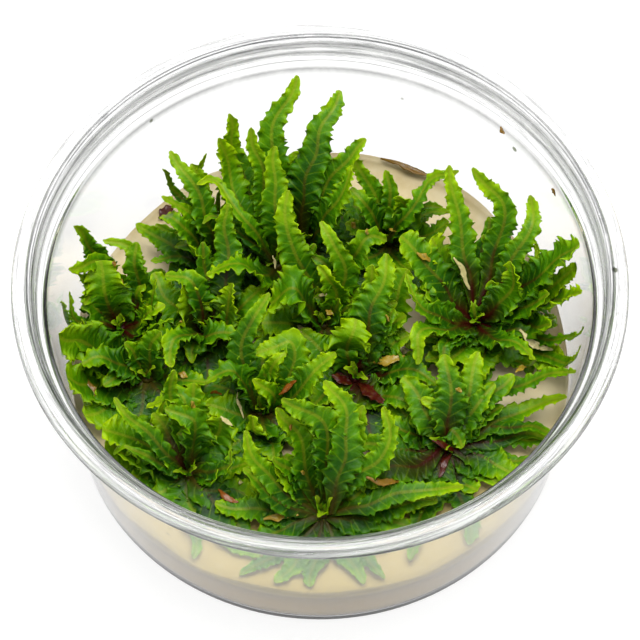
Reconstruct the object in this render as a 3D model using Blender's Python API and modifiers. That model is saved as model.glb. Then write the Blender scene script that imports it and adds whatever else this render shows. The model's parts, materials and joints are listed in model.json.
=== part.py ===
"""Tissue culture downoi: a clear round cup, a slab of growing gel and fourteen ruffled plantlets.

Units are metres and +Z is up. The origin is the centre of the cup's base, and the cup's axis is Z.
The plantlet table is in millimetres, and at() turns a place in it to metres.
"""
import math

import bmesh
import bpy
from mathutils import Matrix, Vector

MM = 0.001

# Cup, turned about Z
RIM_RADIUS = 50.0 * MM
CUP_HEIGHT = 44.0 * MM
BASE_RADIUS = 42.6 * MM
FLOOR = 1.2 * MM
WALL = 0.8 * MM
SEAT_DEPTH = 5.4 * MM
SEAT_RADIUS = 45.4 * MM
MOUTH_RADIUS = 46.6 * MM
LIP = 1.2 * MM
LIP_ROUND = 0.4 * MM
LIP_FALL = 1.8 * MM
LIP_HOLLOW = 1.6 * MM
CORNER = 1.6 * MM
CORNER_SPLAY = 0.2 * MM
CUP_STEPS = 32

# Gel, a slab that fills the foot of the cup
GAP = 0.3 * MM
GEL_TOP = 12.7 * MM
GEL_STEPS = CUP_STEPS

# Stub, the short stem that a plantlet's leaves grow from
STUB_FOOT_RADIUS = 1.9 * MM
STUB_TOP_RADIUS = 0.9 * MM
STUB_HEIGHT = 3.6 * MM
STUB_SIDES = 6

# Leaf blade
ROOT_REACH = 2.5 * MM
INNER_ROOT_REACH = 0.4 * MM
INNER_ROOT_HEIGHT = 2.0 * MM
KEEL_DEPTH = 0.8 * MM
KEEL_FADE = 0.4
ROOT_SHARE = 0.3
CHANNEL = 0.16
RUFFLE = 0.16
MIDDLE = 0.5
TIP_SHARE = 0.42
BROAD_WIDTH = 5.6 * MM
BROAD_TIP_SHARE = 0.75
ROUND_START = 0.86
WALL_CLEARANCE = 0.5 * MM
LEAF_STEPS = 6
SMALL_LEAF_STEPS = 3
CURVE_STEPS = 12

# name, place of its stub (x, y), then its leaves: name, width, root (bearing in degrees, height over
# the gel) or None for a small leaf that is one with the stub, and three points that it passes through
PLANTLETS = (
    ("back_left", (-19, 19), (
        ("horn", 3.8, (15, 5.5), (-19.5, 21.5, 26), (-22, 25, 32), (-25.5, 29.5, 35)),
        ("fork", 4.8, (130, 6), (-21.5, 22.5, 22.5), (-20.5, 25.5, 27), (-22, 29, 31.5)),
        ("shelf", 3.2, (180, 5.5), (-21.5, 19, 21.5), (-24.5, 20, 28), (-28, 23.5, 23)),
        ("crook", 1.6, None, (-20.5, 23.5, 20.5), (-25, 28, 24.5), (-27, 27, 32.5)),
        ("twig", 1.6, None, (-19.5, 23, 21), (-21, 28, 27), (-19.5, 29, 34.5)),
        ("floor", 4, None, (-23, 19, 16.5), (-28, 22, 18), (-32, 24, 20.5)),
        ("patch", 2.8, None, (-19.5, 20.5, 22.5), (-23, 22.5, 27.5), (-27, 22.5, 31)),
        ("round", 4.8, None, (-18.5, 16.5, 20), (-21, 15.5, 23.5), (-22.5, 16.5, 25.5)),
        ("drape", 4.6, None, (-21.5, 18, 16.5), (-25, 18, 18.5), (-29.5, 17, 19.5)),
    )),
    ("back_mid", (-7.5, 18.5), (
        ("plume", 5.6, (155, 2.5), (-13, 22.5, 24), (-15.5, 28, 29.5), (-17, 30, 38)),
        ("spear", 4.4, (125, 2), (-11.5, 25, 23), (-14.5, 31.5, 29.5), (-15.5, 34.5, 38.5)),
        ("lance", 4, (130, 6), (-9, 24, 23.5), (-10, 28, 30.5), (-12, 32, 38)),
        ("peak", 5, (55, 5.5), (-7.5, 25, 22.5), (-8, 34, 34), (-3.5, 41, 40.5)),
        ("shield", 5.2, None, (-7, 21, 24), (-8, 26, 31), (-7.5, 30, 35.5)),
        ("side", 2.6, None, (-12, 19, 27), (-17.5, 25.5, 30.5), (-21, 24, 32.5)),
        ("saddle", 5.4, None, (-10, 12.5, 21), (-13.5, 12, 26.5), (-19.5, 11, 24.5)),
    )),
    ("back_high", (-2, 23), (
        ("mast", 5.6, (180, 6), (-3, 25.5, 25.5), (0, 32.5, 35), (3.5, 39.5, 38.5)),
        ("crest", 4.8, (35, 5.5), (-0.5, 25, 24.5), (4, 28.5, 32.5), (8, 30.5, 36.5)),
        ("bright", 5.4, (-20, 2.5), (0.5, 22, 23.5), (3, 23, 29), (5.5, 27, 34)),
        ("dark", 6.4, None, (-3.5, 27, 21), (-2.5, 30, 25.5), (-5, 32.5, 29.5)),
    )),
    ("back_right", (12, 23.5), (
        ("arm", 3.8, (120, 4), (10.5, 25.5, 21.5), (8, 28, 27.5), (6, 30.5, 32)),
        ("flag", 5.4, (-50, 6), (14, 23, 21.5), (15, 24.5, 23), (13.5, 24.5, 28)),
        ("arch", 3, (-105, 6), (14.5, 21, 26.5), (19, 26, 30.5), (23.5, 25.5, 35)),
        ("yellow", 3.6, None, (12, 24.5, 20.5), (12.5, 27, 25.5), (11, 29.5, 28.5)),
        ("short", 4.6, None, (10, 23, 21), (7.5, 24, 26.5), (5.5, 26.5, 28)),
        ("low", 3, None, (15.5, 23, 20), (19, 25, 21.5), (23, 24.5, 23.5)),
        ("west", 5.2, None, (10, 24, 15.5), (7.5, 23.5, 17.5), (4.5, 24.5, 19.5)),
        ("south", 5.2, None, (12.5, 21, 15), (13.5, 17.5, 17.5), (16, 15, 19)),
        ("hollow", 5.2, None, (10.5, 21, 15.5), (8.5, 18.5, 17), (5.5, 17, 18.5)),
        ("east", 5.4, None, (15.5, 23, 16), (19, 22, 20), (22.5, 23.5, 21.5)),
    )),
    ("mid_back", (0.5, 6.5), (
        ("rise", 5.2, (115, 3.5), (-2, 12, 22.5), (-6, 16.5, 30.5), (-5, 21, 35.5)),
        ("cape", 6.4, (190, 6), (-2, 6.5, 21), (-4.5, 6.5, 27), (-8.5, 7, 22)),
        ("point", 4.6, (65, 3), (3.5, 13, 20.5), (7.5, 14.5, 29.5), (11.5, 16.5, 27.5)),
        ("blade", 4.2, None, (4, 11, 24), (2.5, 14, 30), (0, 17, 32)),
        ("curl", 4, None, (2.5, 9, 20.5), (1.5, 10, 25.5), (-0.5, 11.5, 26.5)),
        ("spike", 2.2, None, (-2, 8.5, 19.5), (-2.5, 9.5, 22), (-3, 10.5, 27)),
        ("stub", 3.6, None, (2.5, 7, 17.5), (3, 7, 20.5), (3, 7.5, 22.5)),
        ("under", 6.4, None, (-2.5, 5.5, 15), (-5.5, 5, 17.5), (-10, 5, 18.5)),
        ("veil", 5.4, None, (3, 7, 16.5), (5, 8.5, 19.5), (5.5, 12, 20.5)),
    )),
    ("right", (27, 7), (
        ("tall", 4.2, (110, 6), (25.5, 12.5, 23), (23, 20.5, 31.5), (22, 25.5, 36.5)),
        ("whip", 4.2, (80, 6), (29.5, 13.5, 23), (31, 20.5, 31.5), (25.5, 24, 37.5)),
        ("hook", 3.8, (50, 5), (31, 11, 21.5), (35.5, 17, 29.5), (36.5, 24, 29.5)),
        ("fan_a", 6.4, (25, 4), (33, 9, 20.5), (38, 9, 29.5), (43, 9.5, 37.5)),
        ("fan_c", 5.8, (0, 1), (34, 9, 16), (38.5, 7, 22), (43, 2, 33.5)),
        ("front", 5.4, (0, 5.5), (30, 6.5, 20), (32.5, 7.5, 25.5), (32, 10, 30.5)),
        ("gold", 2, None, (33, 12.5, 19), (36.5, 13.5, 25.5), (37, 17, 25.5)),
        ("fan_b", 4.6, None, (33, 8.5, 16), (38, 8, 24.5), (44, 8, 32.5)),
        ("fan_d", 4, None, (31.5, 4.5, 17), (39, 4.5, 19), (41, 6.5, 17)),
        ("dark", 6.4, None, (25, 11, 18.5), (21.5, 15, 22.5), (19, 17, 26.5)),
        ("shade", 6, None, (23.5, 8.5, 17.5), (19.5, 9, 21.5), (17, 12, 23.5)),
        ("wave", 3.6, None, (24.5, 3.5, 18.5), (21.5, -0.5, 21.5), (19, -1, 20.5)),
        ("ribbon", 3.6, None, (23, 4.5, 19.5), (17.5, 3.5, 25.5), (14.5, 9, 28.5)),
        ("drop", 4, None, (22.5, 2.5, 20.5), (16.5, -1, 25.5), (16.5, -5.5, 22.5)),
        ("thread_a", 2.2, None, (33.5, 3.5, 17), (41, -0.5, 22.5), (44, -4, 32.5)),
        ("thread_b", 2.6, None, (33.5, 2.5, 15.5), (41, -4, 20.5), (43.5, -6.5, 30.5)),
        ("skirt", 6.2, None, (31, 2.5, 16), (37, -0.5, 17), (41.5, -2.5, 19.5)),
        ("brow", 4.2, None, (29, 2, 18.5), (32.5, -1, 22.5), (36.5, -3.5, 20.5)),
        ("long", 6.2, None, (22.5, 9, 19.5), (18.5, 13, 24.5), (13.5, 16, 28.5)),
        ("south_a", 5.8, None, (26, 3.5, 15), (24, 0, 18), (20.5, -3, 18)),
        ("south_b", 5.8, None, (28, 2.5, 15.5), (28, -1, 16.5), (27, -5.5, 17.5)),
        ("south_c", 5.2, None, (25, 3.5, 16.5), (21.5, 0, 17.5), (18, -2.5, 18.5)),
    )),
    ("front_right", (21, -17), (
        ("sweep", 3, (80, 1), (26.5, -11, 18), (34.5, -8, 21), (42.5, -9.5, 28.5)),
        ("plank", 3.6, (40, 1), (27.5, -14, 14), (34.5, -16, 15.5), (39.5, -15.5, 17.5)),
        ("skid", 5.8, (-30, 3.5), (25.5, -18.5, 15), (30, -21, 15.5), (34, -23, 16.5)),
        ("red", 5.8, (-130, 5), (17, -21.5, 17.5), (11, -24, 20.5), (4, -25.5, 17.5)),
        ("wide", 3.4, None, (27.5, -15, 17), (35.5, -10.5, 17), (41.5, -10.5, 20)),
        ("heel", 5.4, None, (22.5, -20.5, 14), (24, -23, 14), (26, -25.5, 15)),
        ("dusk", 5.2, None, (17.5, -15.5, 15.5), (14, -15, 17.5), (10.5, -14.5, 18.5)),
        ("bow", 3.4, None, (21.5, -16, 16.5), (22, -16, 18.5), (24, -18, 16.5)),
        ("tab", 3.4, None, (21, -15, 18.5), (19.5, -13, 21.5), (17, -11.5, 22.5)),
        ("frill", 4, None, (23.5, -14.5, 18), (26, -12.5, 21.5), (29.5, -9.5, 23)),
        ("tail", 6, None, (19, -22, 15), (14.5, -26.5, 16), (11.5, -28, 14.5)),
        ("north_a", 5.4, None, (21.5, -14.5, 19.5), (21.5, -11, 23.5), (21, -5.5, 26.5)),
        ("north_b", 5.4, None, (22.5, -14.5, 18.5), (25, -10.5, 22.5), (26.5, -4.5, 25.5)),
        ("north_c", 5.2, None, (23.5, -14, 17), (27.5, -11, 20.5), (32.5, -7.5, 23)),
        ("corner", 5.4, None, (19.5, -15, 18.5), (16.5, -11.5, 21.5), (14, -7.5, 22.5)),
        ("west", 5.8, None, (17.5, -15.5, 15.5), (14.5, -12, 16.5), (12, -8, 17)),
        ("drape_a", 6.2, None, (22.5, -22.5, 14), (24.5, -29, 14), (24, -34, 14)),
        ("drape_b", 5.4, None, (21, -23, 14.5), (16.5, -30, 14), (14.5, -37, 14.5)),
    )),
    ("centre", (6, -4), (
        ("lobe", 6.4, (125, 5.5), (5, -1.5, 18.5), (5, -1, 24), (6, 1.5, 26)),
        ("reach", 5.8, (60, 6), (8, 1.5, 23), (10.5, 7, 29.5), (11.5, 11, 31.5)),
        ("east", 4.4, (-5, 1), (10.5, -4, 16), (15.5, -5.5, 20.5), (20, -7.5, 20)),
        ("slab", 7, None, (9.5, 2, 17), (12.5, 6.5, 21.5), (15, 11.5, 25.5)),
        ("ridge", 4, None, (7, 1, 18), (9.5, 4.5, 23.5), (13, 5.5, 25)),
        ("mitten", 5.2, None, (9.5, -7.5, 15.5), (13, -9.5, 19), (16.5, -11.5, 18.5)),
        ("shadow", 5.8, None, (8, -1, 17), (10, 2.5, 18.5), (14.5, 4.5, 22.5)),
        ("north", 4.4, None, (6, 0.5, 18.5), (7.5, 5.5, 23.5), (9, 9, 31)),
        ("back", 5.8, None, (3.5, -1, 15.5), (-0.5, 0.5, 17.5), (-3.5, 3, 19.5)),
        ("west", 5.4, None, (3.5, -5.5, 15.5), (1, -8, 17), (-1.5, -11, 18.5)),
        ("rear", 5.2, None, (9, -1, 16), (12, 0.5, 18.5), (15.5, 1.5, 20)),
        ("ember", 5.8, None, (7, -6.5, 15.5), (9.5, -8.5, 16.5), (12, -10, 16.5)),
    )),
    ("front", (0.5, -29.5), (
        ("great", 5.2, (-25, 5), (3, -26.5, 22.5), (4.5, -19, 28), (1, -13.5, 32.5)),
        ("sickle", 3.8, (25, 4), (4, -27, 20), (11.5, -22.5, 27), (10, -17.5, 30.5)),
        ("runner", 4.6, (5, 1), (5, -28.5, 14), (12.5, -28.5, 16.5), (19.5, -28, 17.5)),
        ("span", 5.2, (95, 6), (1, -27, 20.5), (0.5, -20, 28.5), (-6, -18, 34.5)),
        ("thumb", 3.6, None, (0, -26.5, 17), (-1, -23, 19), (-2, -21.5, 22)),
        ("quill", 2.6, None, (1, -26, 17), (1.5, -24.5, 21.5), (1.5, -22.5, 24)),
        ("wing", 4, None, (-2.5, -27.5, 16.5), (-5, -25.5, 20.5), (-7.5, -23.5, 23.5)),
        ("twin", 4.6, None, (2, -25, 19), (6, -20, 25.5), (7, -17, 30)),
        ("east", 4, None, (3, -27.5, 14.5), (5.5, -28, 18), (7.5, -24.5, 16.5)),
        ("west", 5, None, (-4.5, -29, 14.5), (-11.5, -29, 15.5), (-17.5, -28, 16)),
        ("lean", 4, None, (-4, -28, 17.5), (-9.5, -25, 22.5), (-12.5, -20.5, 27.5)),
        ("cross", 4.4, None, (-1.5, -26, 18), (-3.5, -21, 26), (-7, -18.5, 32)),
        ("bridge", 3.4, None, (6.5, -29.5, 18), (17, -27.5, 20.5), (24, -26, 17.5)),
        ("straw", 3, None, (-3, -30, 14), (-6.5, -30, 14.5), (-9.5, -31, 14.5)),
        ("drape_a", 5.8, None, (-2, -33, 14), (-4.5, -37.5, 14), (-7, -41, 14)),
        ("drape_b", 6.2, None, (0, -33, 14), (-1, -37.5, 14), (-1.5, -41.5, 14)),
        ("drape_c", 4.6, None, (-3.5, -32, 14), (-8, -36.5, 14), (-13, -39.5, 14)),
        ("drape_d", 5.2, None, (2, -32.5, 14), (5, -37.5, 14), (7, -41, 14)),
        ("drape_e", 4.4, None, (3.5, -31.5, 14), (7.5, -36, 14), (10.5, -40, 14)),
    )),
    ("front_left", (-22, -22), (
        ("fan_a", 7, (150, 3.5), (-27, -18.5, 16), (-31.5, -18, 19.5), (-36, -17.5, 23)),
        ("nod", 4.6, (50, 6), (-21.5, -20.5, 21), (-20.5, -17.5, 26), (-25.5, -16.5, 27.5)),
        ("east", 4, (-15, 1.5), (-18.5, -21.5, 15.5), (-14.5, -22, 16.5), (-10.5, -21.5, 19)),
        ("stub", 4, None, (-23.5, -21.5, 17.5), (-25, -21, 19.5), (-27, -20, 20.5)),
        ("vane", 2.6, None, (-25, -21, 20), (-31, -17.5, 26), (-33.5, -14.5, 28.5)),
        ("fan_b", 7.2, None, (-27, -20.5, 14), (-31.5, -18.5, 15), (-36, -18, 18)),
        ("tip", 2.6, None, (-19.5, -22.5, 17), (-15, -24, 21), (-15, -21, 22.5)),
        ("hem", 5.8, None, (-24.5, -23.5, 14.5), (-26.5, -25.5, 15), (-28, -25.5, 14.5)),
        ("foot", 5.8, None, (-22, -25, 14.5), (-21.5, -27.5, 14.5), (-20.5, -29, 14.5)),
        ("plate", 6.4, None, (-19, -25.5, 15.5), (-13.5, -25.5, 14), (-9.5, -27, 14.5)),
        ("deep", 7.2, None, (-20, -20, 17), (-17.5, -17.5, 19), (-16.5, -16, 23.5)),
        ("ember", 5.2, None, (-23.5, -21, 18.5), (-25.5, -18, 21.5), (-27.5, -15.5, 24.5)),
        ("fork", 4.6, None, (-22.5, -18, 20), (-23, -13, 25), (-29, -13, 22)),
        ("prong", 3.6, None, (-21, -17, 21), (-25, -13.5, 25.5), (-23.5, -11, 31)),
        ("tower", 6, None, (-21, -19, 17.5), (-20.5, -15.5, 21), (-21, -11, 26.5)),
        ("drape_a", 4, None, (-21.5, -27.5, 14), (-20.5, -32, 14), (-20.5, -36.5, 14)),
        ("drape_b", 6, None, (-19, -27.5, 14), (-15, -32.5, 14), (-10, -36.5, 14)),
    )),
    ("left", (-29.5, -4), (
        ("claw", 5.2, (175, 3.5), (-32, -3.5, 17.5), (-36.5, -4.5, 23), (-40, -5.5, 23)),
        ("broad", 7.2, (135, 3), (-33.5, -1, 15), (-38.5, -1.5, 21.5), (-43.5, -4, 30)),
        ("flat", 7.8, None, (-34, -6, 15.5), (-38.5, -7, 17.5), (-42.5, -9, 25)),
        ("low", 6.4, None, (-32.5, -6.5, 15), (-36.5, -10.5, 16.5), (-39.5, -13, 18.5)),
        ("up", 5.4, None, (-28.5, -3, 18.5), (-28.5, -1, 21.5), (-27, 0, 24.5)),
        ("leaf", 4, None, (-31, -2.5, 17.5), (-31.5, -1.5, 20.5), (-33, -1.5, 22.5)),
        ("gold", 4, None, (-26.5, -4, 15.5), (-23, -5, 16.5), (-19, -6.5, 17.5)),
    )),
    ("upper_left", (-34.5, 6), (
        ("wave", 3.6, (125, 3), (-36.5, 10.5, 19.5), (-38.5, 14, 27), (-41, 13.5, 36)),
        ("wall_a", 3.6, (-150, 2.5), (-38.5, 3.5, 16.5), (-42, 1.5, 22.5), (-43, 2, 31.5)),
        ("beak", 3.6, None, (-35.5, 9.5, 20.5), (-37.5, 12, 26.5), (-42, 8, 31.5)),
        ("wisp", 2.8, None, (-31, 12, 22.5), (-33, 15, 26.5), (-37, 16.5, 27.5)),
        ("pale", 5, None, (-30.5, 10, 20.5), (-32, 12.5, 25.5), (-31, 15, 28.5)),
        ("wall_b", 2, None, (-37.5, 4.5, 18.5), (-41.5, 4, 21.5), (-42.5, 7, 25.5)),
        ("sheet", 6.4, None, (-36.5, 6.5, 17.5), (-38.5, 7, 21.5), (-39.5, 9.5, 24.5)),
        ("spot", 7.2, None, (-36, 7.5, 20.5), (-37, 9, 24.5), (-37.5, 12, 27.5)),
        ("rod", 2.8, None, (-29.5, 5.5, 19), (-28.5, 6.5, 23), (-28, 9.5, 26)),
        ("nib", 3.6, None, (-31, 5, 17.5), (-29, 5.5, 21.5), (-26.5, 6.5, 22.5)),
        ("bent", 2.6, None, (-31, 2, 17.5), (-28.5, 2.5, 21.5), (-25, 3, 23.5)),
    )),
    ("mid_left", (-19.5, 4.5), (
        ("brown_b", 5.4, (-10, 4.5), (-17, 5, 17.5), (-15.5, 6, 22), (-15, 8.5, 26)),
        ("high", 5.2, (75, 4), (-16, 9, 21.5), (-16, 15.5, 26.5), (-16, 20, 33)),
        ("brown_a", 5.4, None, (-21.5, 5.5, 17.5), (-22.5, 6.5, 22.5), (-23, 9, 25.5)),
        ("dart", 5.4, None, (-20, 2, 18.5), (-17.5, 1, 21.5), (-14, 1.5, 20.5)),
        ("bend", 4, None, (-20.5, 6, 20.5), (-22, 9.5, 25.5), (-26.5, 11, 24.5)),
        ("sag", 4, None, (-21.5, 2, 19.5), (-24.5, -1, 23.5), (-25, -5.5, 21.5)),
        ("flare", 5.8, None, (-22.5, 7, 16.5), (-26, 9, 19.5), (-29, 13, 21.5)),
        ("low", 4.4, None, (-22.5, 3.5, 15.5), (-25.5, 3, 17.5), (-28.5, 0.5, 18.5)),
        ("shade", 5.4, None, (-15.5, 6, 16), (-13, 7.5, 20), (-10, 11.5, 20.5)),
    )),
    ("inner", (-10, -10.5), (
        ("bow", 5.2, (45, 3), (-5.5, -7, 19), (-5, -1.5, 23.5), (-11, -3.5, 22)),
        ("knife", 5.2, (0, 2.5), (-5, -10, 19), (-1.5, -9, 24.5), (2.5, -6, 28)),
        ("slat", 4, None, (-13, -4, 21.5), (-11.5, 0.5, 27.5), (-8.5, 4, 30.5)),
        ("knob", 3.6, None, (-8.5, -7.5, 19.5), (-7.5, -6, 24.5), (-6, -4.5, 25.5)),
        ("fang", 3.4, None, (-8, -10.5, 18.5), (-8.5, -10, 21.5), (-11, -9, 24.5)),
        ("paw", 4.6, None, (-12, -9.5, 18.5), (-14.5, -7, 23.5), (-19, -9, 22.5)),
        ("flap", 4, None, (-9.5, -15, 16.5), (-11, -16, 18.5), (-11, -14.5, 21.5)),
        ("west", 5.8, None, (-12.5, -11.5, 15.5), (-15.5, -11.5, 17), (-19.5, -11, 18.5)),
        ("corner", 5.8, None, (-12, -13.5, 15), (-14, -16, 15.5), (-16, -18.5, 16)),
        ("south", 5.4, None, (-9.5, -14.5, 15), (-8.5, -17, 15.5), (-7.5, -20, 16)),
    )),
)


def at(place):
    """A place in millimetres, in metres."""
    return Vector(place) * MM


def wall_radius(height):
    """Radius of the cup's inner wall at a height above the base."""
    seat = CUP_HEIGHT - SEAT_DEPTH
    foot_radius = BASE_RADIUS - WALL
    if height >= seat:
        return SEAT_RADIUS - WALL
    return foot_radius + (SEAT_RADIUS - WALL - foot_radius) * max(height, 0.0) / seat


def even_points(points, count):
    """Evenly spaced points along a smooth curve through the given points."""
    ends = [2 * points[0] - points[1], *points, 2 * points[-1] - points[-2]]
    dense = [points[0].copy()]
    for before, start, end, after in zip(ends, ends[1:], ends[2:], ends[3:]):
        for step in range(1, CURVE_STEPS + 1):
            t = step / CURVE_STEPS
            pull = (end - before) * t + (2 * before - 5 * start + 4 * end - after) * t * t
            bend = (3 * start - before - 3 * end + after) * t ** 3
            dense.append(start + 0.5 * (pull + bend))
    lengths = [0.0]
    for first, second in zip(dense, dense[1:]):
        lengths.append(lengths[-1] + (second - first).length)
    spaced = []
    index = 0
    for step in range(count + 1):
        wanted = lengths[-1] * step / count
        while index < len(lengths) - 2 and lengths[index + 1] < wanted:
            index += 1
        share = (wanted - lengths[index]) / (lengths[index + 1] - lengths[index])
        spaced.append(dense[index].lerp(dense[index + 1], share))
    return spaced


def blade_width(share, width):
    """Width of a blade at a share of its length: a narrow root, a broad middle and a slim tip."""
    rise = min(share / MIDDLE, 1.0)
    swell = ROOT_SHARE + (1 - ROOT_SHARE) * rise * rise * (3 - 2 * rise)
    tip = BROAD_TIP_SHARE if width > BROAD_WIDTH else TIP_SHARE
    fade = 1 - (1 - tip) * max(share - MIDDLE, 0.0) / (1 - MIDDLE)
    past = max(share - ROUND_START, 0.0) / (1 - ROUND_START)
    return width * swell * fade * math.sqrt(max(1 - past * past, 0.0))


def kept_inside(ring):
    """A blade's cross-section, moved inside the cup's wall and above the gel."""
    lift = max(GEL_TOP + GAP - min(corner.z for corner in ring), 0.0)
    ring = [corner + Vector((0, 0, lift)) for corner in ring]
    over = max(corner.xy.length - wall_radius(corner.z) + WALL_CLEARANCE for corner in ring)
    if over > 0:
        middle = sum(ring, Vector()) / len(ring)
        inward = Vector((-middle.x, -middle.y, 0)).normalized()
        ring = [corner + over * inward for corner in ring]
    return ring


def blade_rings(points, width, steps):
    """Three-cornered cross-sections along a leaf: two edges that turn up and down, and a keel."""
    spine = even_points(points, steps)
    heading = spine[-1] - spine[0]
    side = Vector((-heading.y, heading.x, 0)).normalized()
    rings = []
    for index, centre in enumerate(spine):
        along = (spine[min(index + 1, steps)] - spine[max(index - 1, 0)]).normalized()
        side = (side - along * side.dot(along)).normalized()
        face = along.cross(side)
        share = index / steps
        half = blade_width(share, width) / 2
        wave = RUFFLE * half * (1 if index % 2 else -1)
        edge = CHANNEL * half
        rings.append(kept_inside([
            centre + side * half + face * (edge + wave),
            centre - side * half + face * (edge - wave),
            centre - face * KEEL_DEPTH * (1 - KEEL_FADE * share),
        ]))
    return rings


def add_blade(mesh, rings):
    """Loft a closed blade through its cross-sections, from a flat root to a pointed tip."""
    loops = [[mesh.verts.new(corner) for corner in ring] for ring in rings[:-1]]
    tip = mesh.verts.new(sum(rings[-1], Vector()) / len(rings[-1]))
    corners = range(len(rings[0]))
    for loop, following in zip(loops, loops[1:]):
        for corner in corners:
            after = (corner + 1) % len(loop)
            mesh.faces.new((loop[corner], loop[after], following[after], following[corner]))
    for corner in corners:
        mesh.faces.new((loops[-1][corner], loops[-1][(corner + 1) % len(corners)], tip))
    mesh.faces.new(loops[0][::-1])
    bmesh.ops.triangulate(mesh, faces=mesh.faces[:])
    bmesh.ops.recalc_face_normals(mesh, faces=mesh.faces[:])


def leaf_points(stub, root, points):
    """The points a leaf passes through, from its root by the stub to its tip."""
    if root:
        bearing = math.radians(root[0])
        reach = ROOT_REACH
        height = root[1] * MM
    else:
        heading = at(points[0]) - Vector((stub[0] * MM, stub[1] * MM, 0))
        bearing = math.atan2(heading.y, heading.x)
        reach = INNER_ROOT_REACH
        height = INNER_ROOT_HEIGHT
    start = Vector((
        stub[0] * MM + reach * math.cos(bearing),
        stub[1] * MM + reach * math.sin(bearing),
        GEL_TOP + height,
    ))
    return [start] + [at(point) for point in points]


def clear_scene():
    """Remove what the scene holds at the start."""
    for thing in list(bpy.data.objects):
        bpy.data.objects.remove(thing, do_unlink=True)


def new_collection(name):
    """A collection in the scene."""
    collection = bpy.data.collections.new(name)
    bpy.context.scene.collection.children.link(collection)
    return collection


def finish_material(name, colour, roughness, transmission=0.0):
    """A plain surface with a colour, a roughness and how much light it lets through."""
    material = bpy.data.materials.new(name)
    material.use_nodes = True
    shader = material.node_tree.nodes["Principled BSDF"]
    shader.inputs["Base Color"].default_value = (*colour, 1.0)
    shader.inputs["Roughness"].default_value = roughness
    shader.inputs["Metallic"].default_value = 0.0
    shader.inputs["Transmission Weight"].default_value = transmission
    return material


def object_from(name, mesh, collection, material):
    """A named object from a bmesh."""
    data = bpy.data.meshes.new(name)
    mesh.to_mesh(data)
    mesh.free()
    thing = bpy.data.objects.new(name, data)
    thing.data.materials.append(material)
    collection.objects.link(thing)
    return thing


def turned(name, profile, steps, collection, material):
    """A solid turned about Z from a profile of (radius, height) that runs down its outer side."""
    mesh = bmesh.new()
    corners = [mesh.verts.new((radius, 0, height)) for radius, height in profile]
    for first, second in zip(corners, corners[1:]):
        mesh.edges.new((first, second))
    thing = object_from(name, mesh, collection, material)
    turn = thing.modifiers.new("Turn", "SCREW")
    turn.steps = steps
    turn.render_steps = steps
    turn.use_merge_vertices = True
    turn.merge_threshold = 0.1 * MM
    return thing


def cup_profile():
    """Inside of the cup from its floor up to the lip, then down the outside to its base."""
    seat = CUP_HEIGHT - SEAT_DEPTH
    inner_foot = BASE_RADIUS - WALL
    inner_seat = SEAT_RADIUS - WALL
    lip_root = MOUTH_RADIUS + WALL
    return [
        (0, FLOOR),
        (inner_foot - CORNER, FLOOR),
        (wall_radius(FLOOR + CORNER), FLOOR + CORNER),
        (inner_seat, seat),
        (MOUTH_RADIUS - WALL, seat + WALL),
        (MOUTH_RADIUS, CUP_HEIGHT - LIP_ROUND),
        (lip_root, CUP_HEIGHT),
        (RIM_RADIUS - LIP_ROUND, CUP_HEIGHT - LIP_ROUND),
        (RIM_RADIUS, CUP_HEIGHT - LIP),
        (RIM_RADIUS - LIP_ROUND, CUP_HEIGHT - LIP_FALL),
        (lip_root, CUP_HEIGHT - LIP_HOLLOW),
        (MOUTH_RADIUS, seat),
        (SEAT_RADIUS, seat - WALL),
        (BASE_RADIUS + CORNER_SPLAY, CORNER),
        (BASE_RADIUS - CORNER / 2, 0),
        (0, 0),
    ]


def make_cup(collection):
    """The clear cup: a flat floor, a flared wall, a seat for a lid and a flat lip."""
    clear = finish_material("clear_plastic", (0.95, 0.96, 0.95), 0.05, 1.0)
    return turned("cup", cup_profile(), CUP_STEPS, collection, clear)


def make_gel(collection):
    """The slab of gel, a gap clear of the cup's wall and floor."""
    jelly = finish_material("gel", (0.66, 0.58, 0.40), 0.25, 0.4)
    foot = FLOOR + GAP
    profile = [
        (0, GEL_TOP),
        (wall_radius(GEL_TOP) - GAP, GEL_TOP),
        (wall_radius(foot + CORNER) - GAP, foot + CORNER),
        (wall_radius(foot) - CORNER - GAP, foot),
        (0, foot),
    ]
    return turned("gel", profile, GEL_STEPS, collection, jelly)


def make_stub(name, stub, collection, material):
    """The short stem of a plantlet, standing on the gel."""
    mesh = bmesh.new()
    middle = Vector((stub[0] * MM, stub[1] * MM, GEL_TOP + GAP + STUB_HEIGHT / 2))
    bmesh.ops.create_cone(
        mesh,
        cap_ends=True,
        segments=STUB_SIDES,
        radius1=STUB_FOOT_RADIUS,
        radius2=STUB_TOP_RADIUS,
        depth=STUB_HEIGHT,
        matrix=Matrix.Translation(middle),
    )
    return object_from(name, mesh, collection, material)


def make_leaf(name, points, width, steps, collection, material):
    """One leaf as a closed blade."""
    mesh = bmesh.new()
    add_blade(mesh, blade_rings(points, width * MM, steps))
    return object_from(name, mesh, collection, material)


def join(thing, cutter):
    """Join a small leaf to the stub it grows from."""
    union = thing.modifiers.new(cutter.name, "BOOLEAN")
    union.operation = "UNION"
    union.solver = "EXACT"
    union.object = cutter
    cutter.hide_render = True
    cutter.display_type = "WIRE"


def make_plantlet(name, stub, leaves, parts, cutters):
    """A stub with its small leaves in one piece, and its large leaves each a piece of their own."""
    green = finish_material("plantlet_" + name, (0.09, 0.19, 0.01), 0.45)
    crown = make_stub("plantlet_" + name, stub, parts, green)
    for leaf, width, root, *points in leaves:
        route = leaf_points(stub, root, points)
        if root:
            leaf_green = finish_material("leaf_" + name + "_" + leaf, (0.19, 0.33, 0.01), 0.4)
            make_leaf("leaf_" + name + "_" + leaf, route, width, LEAF_STEPS, parts, leaf_green)
        else:
            small = make_leaf(name + "_" + leaf, route, width, SMALL_LEAF_STEPS, cutters, green)
            join(crown, small)


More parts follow.
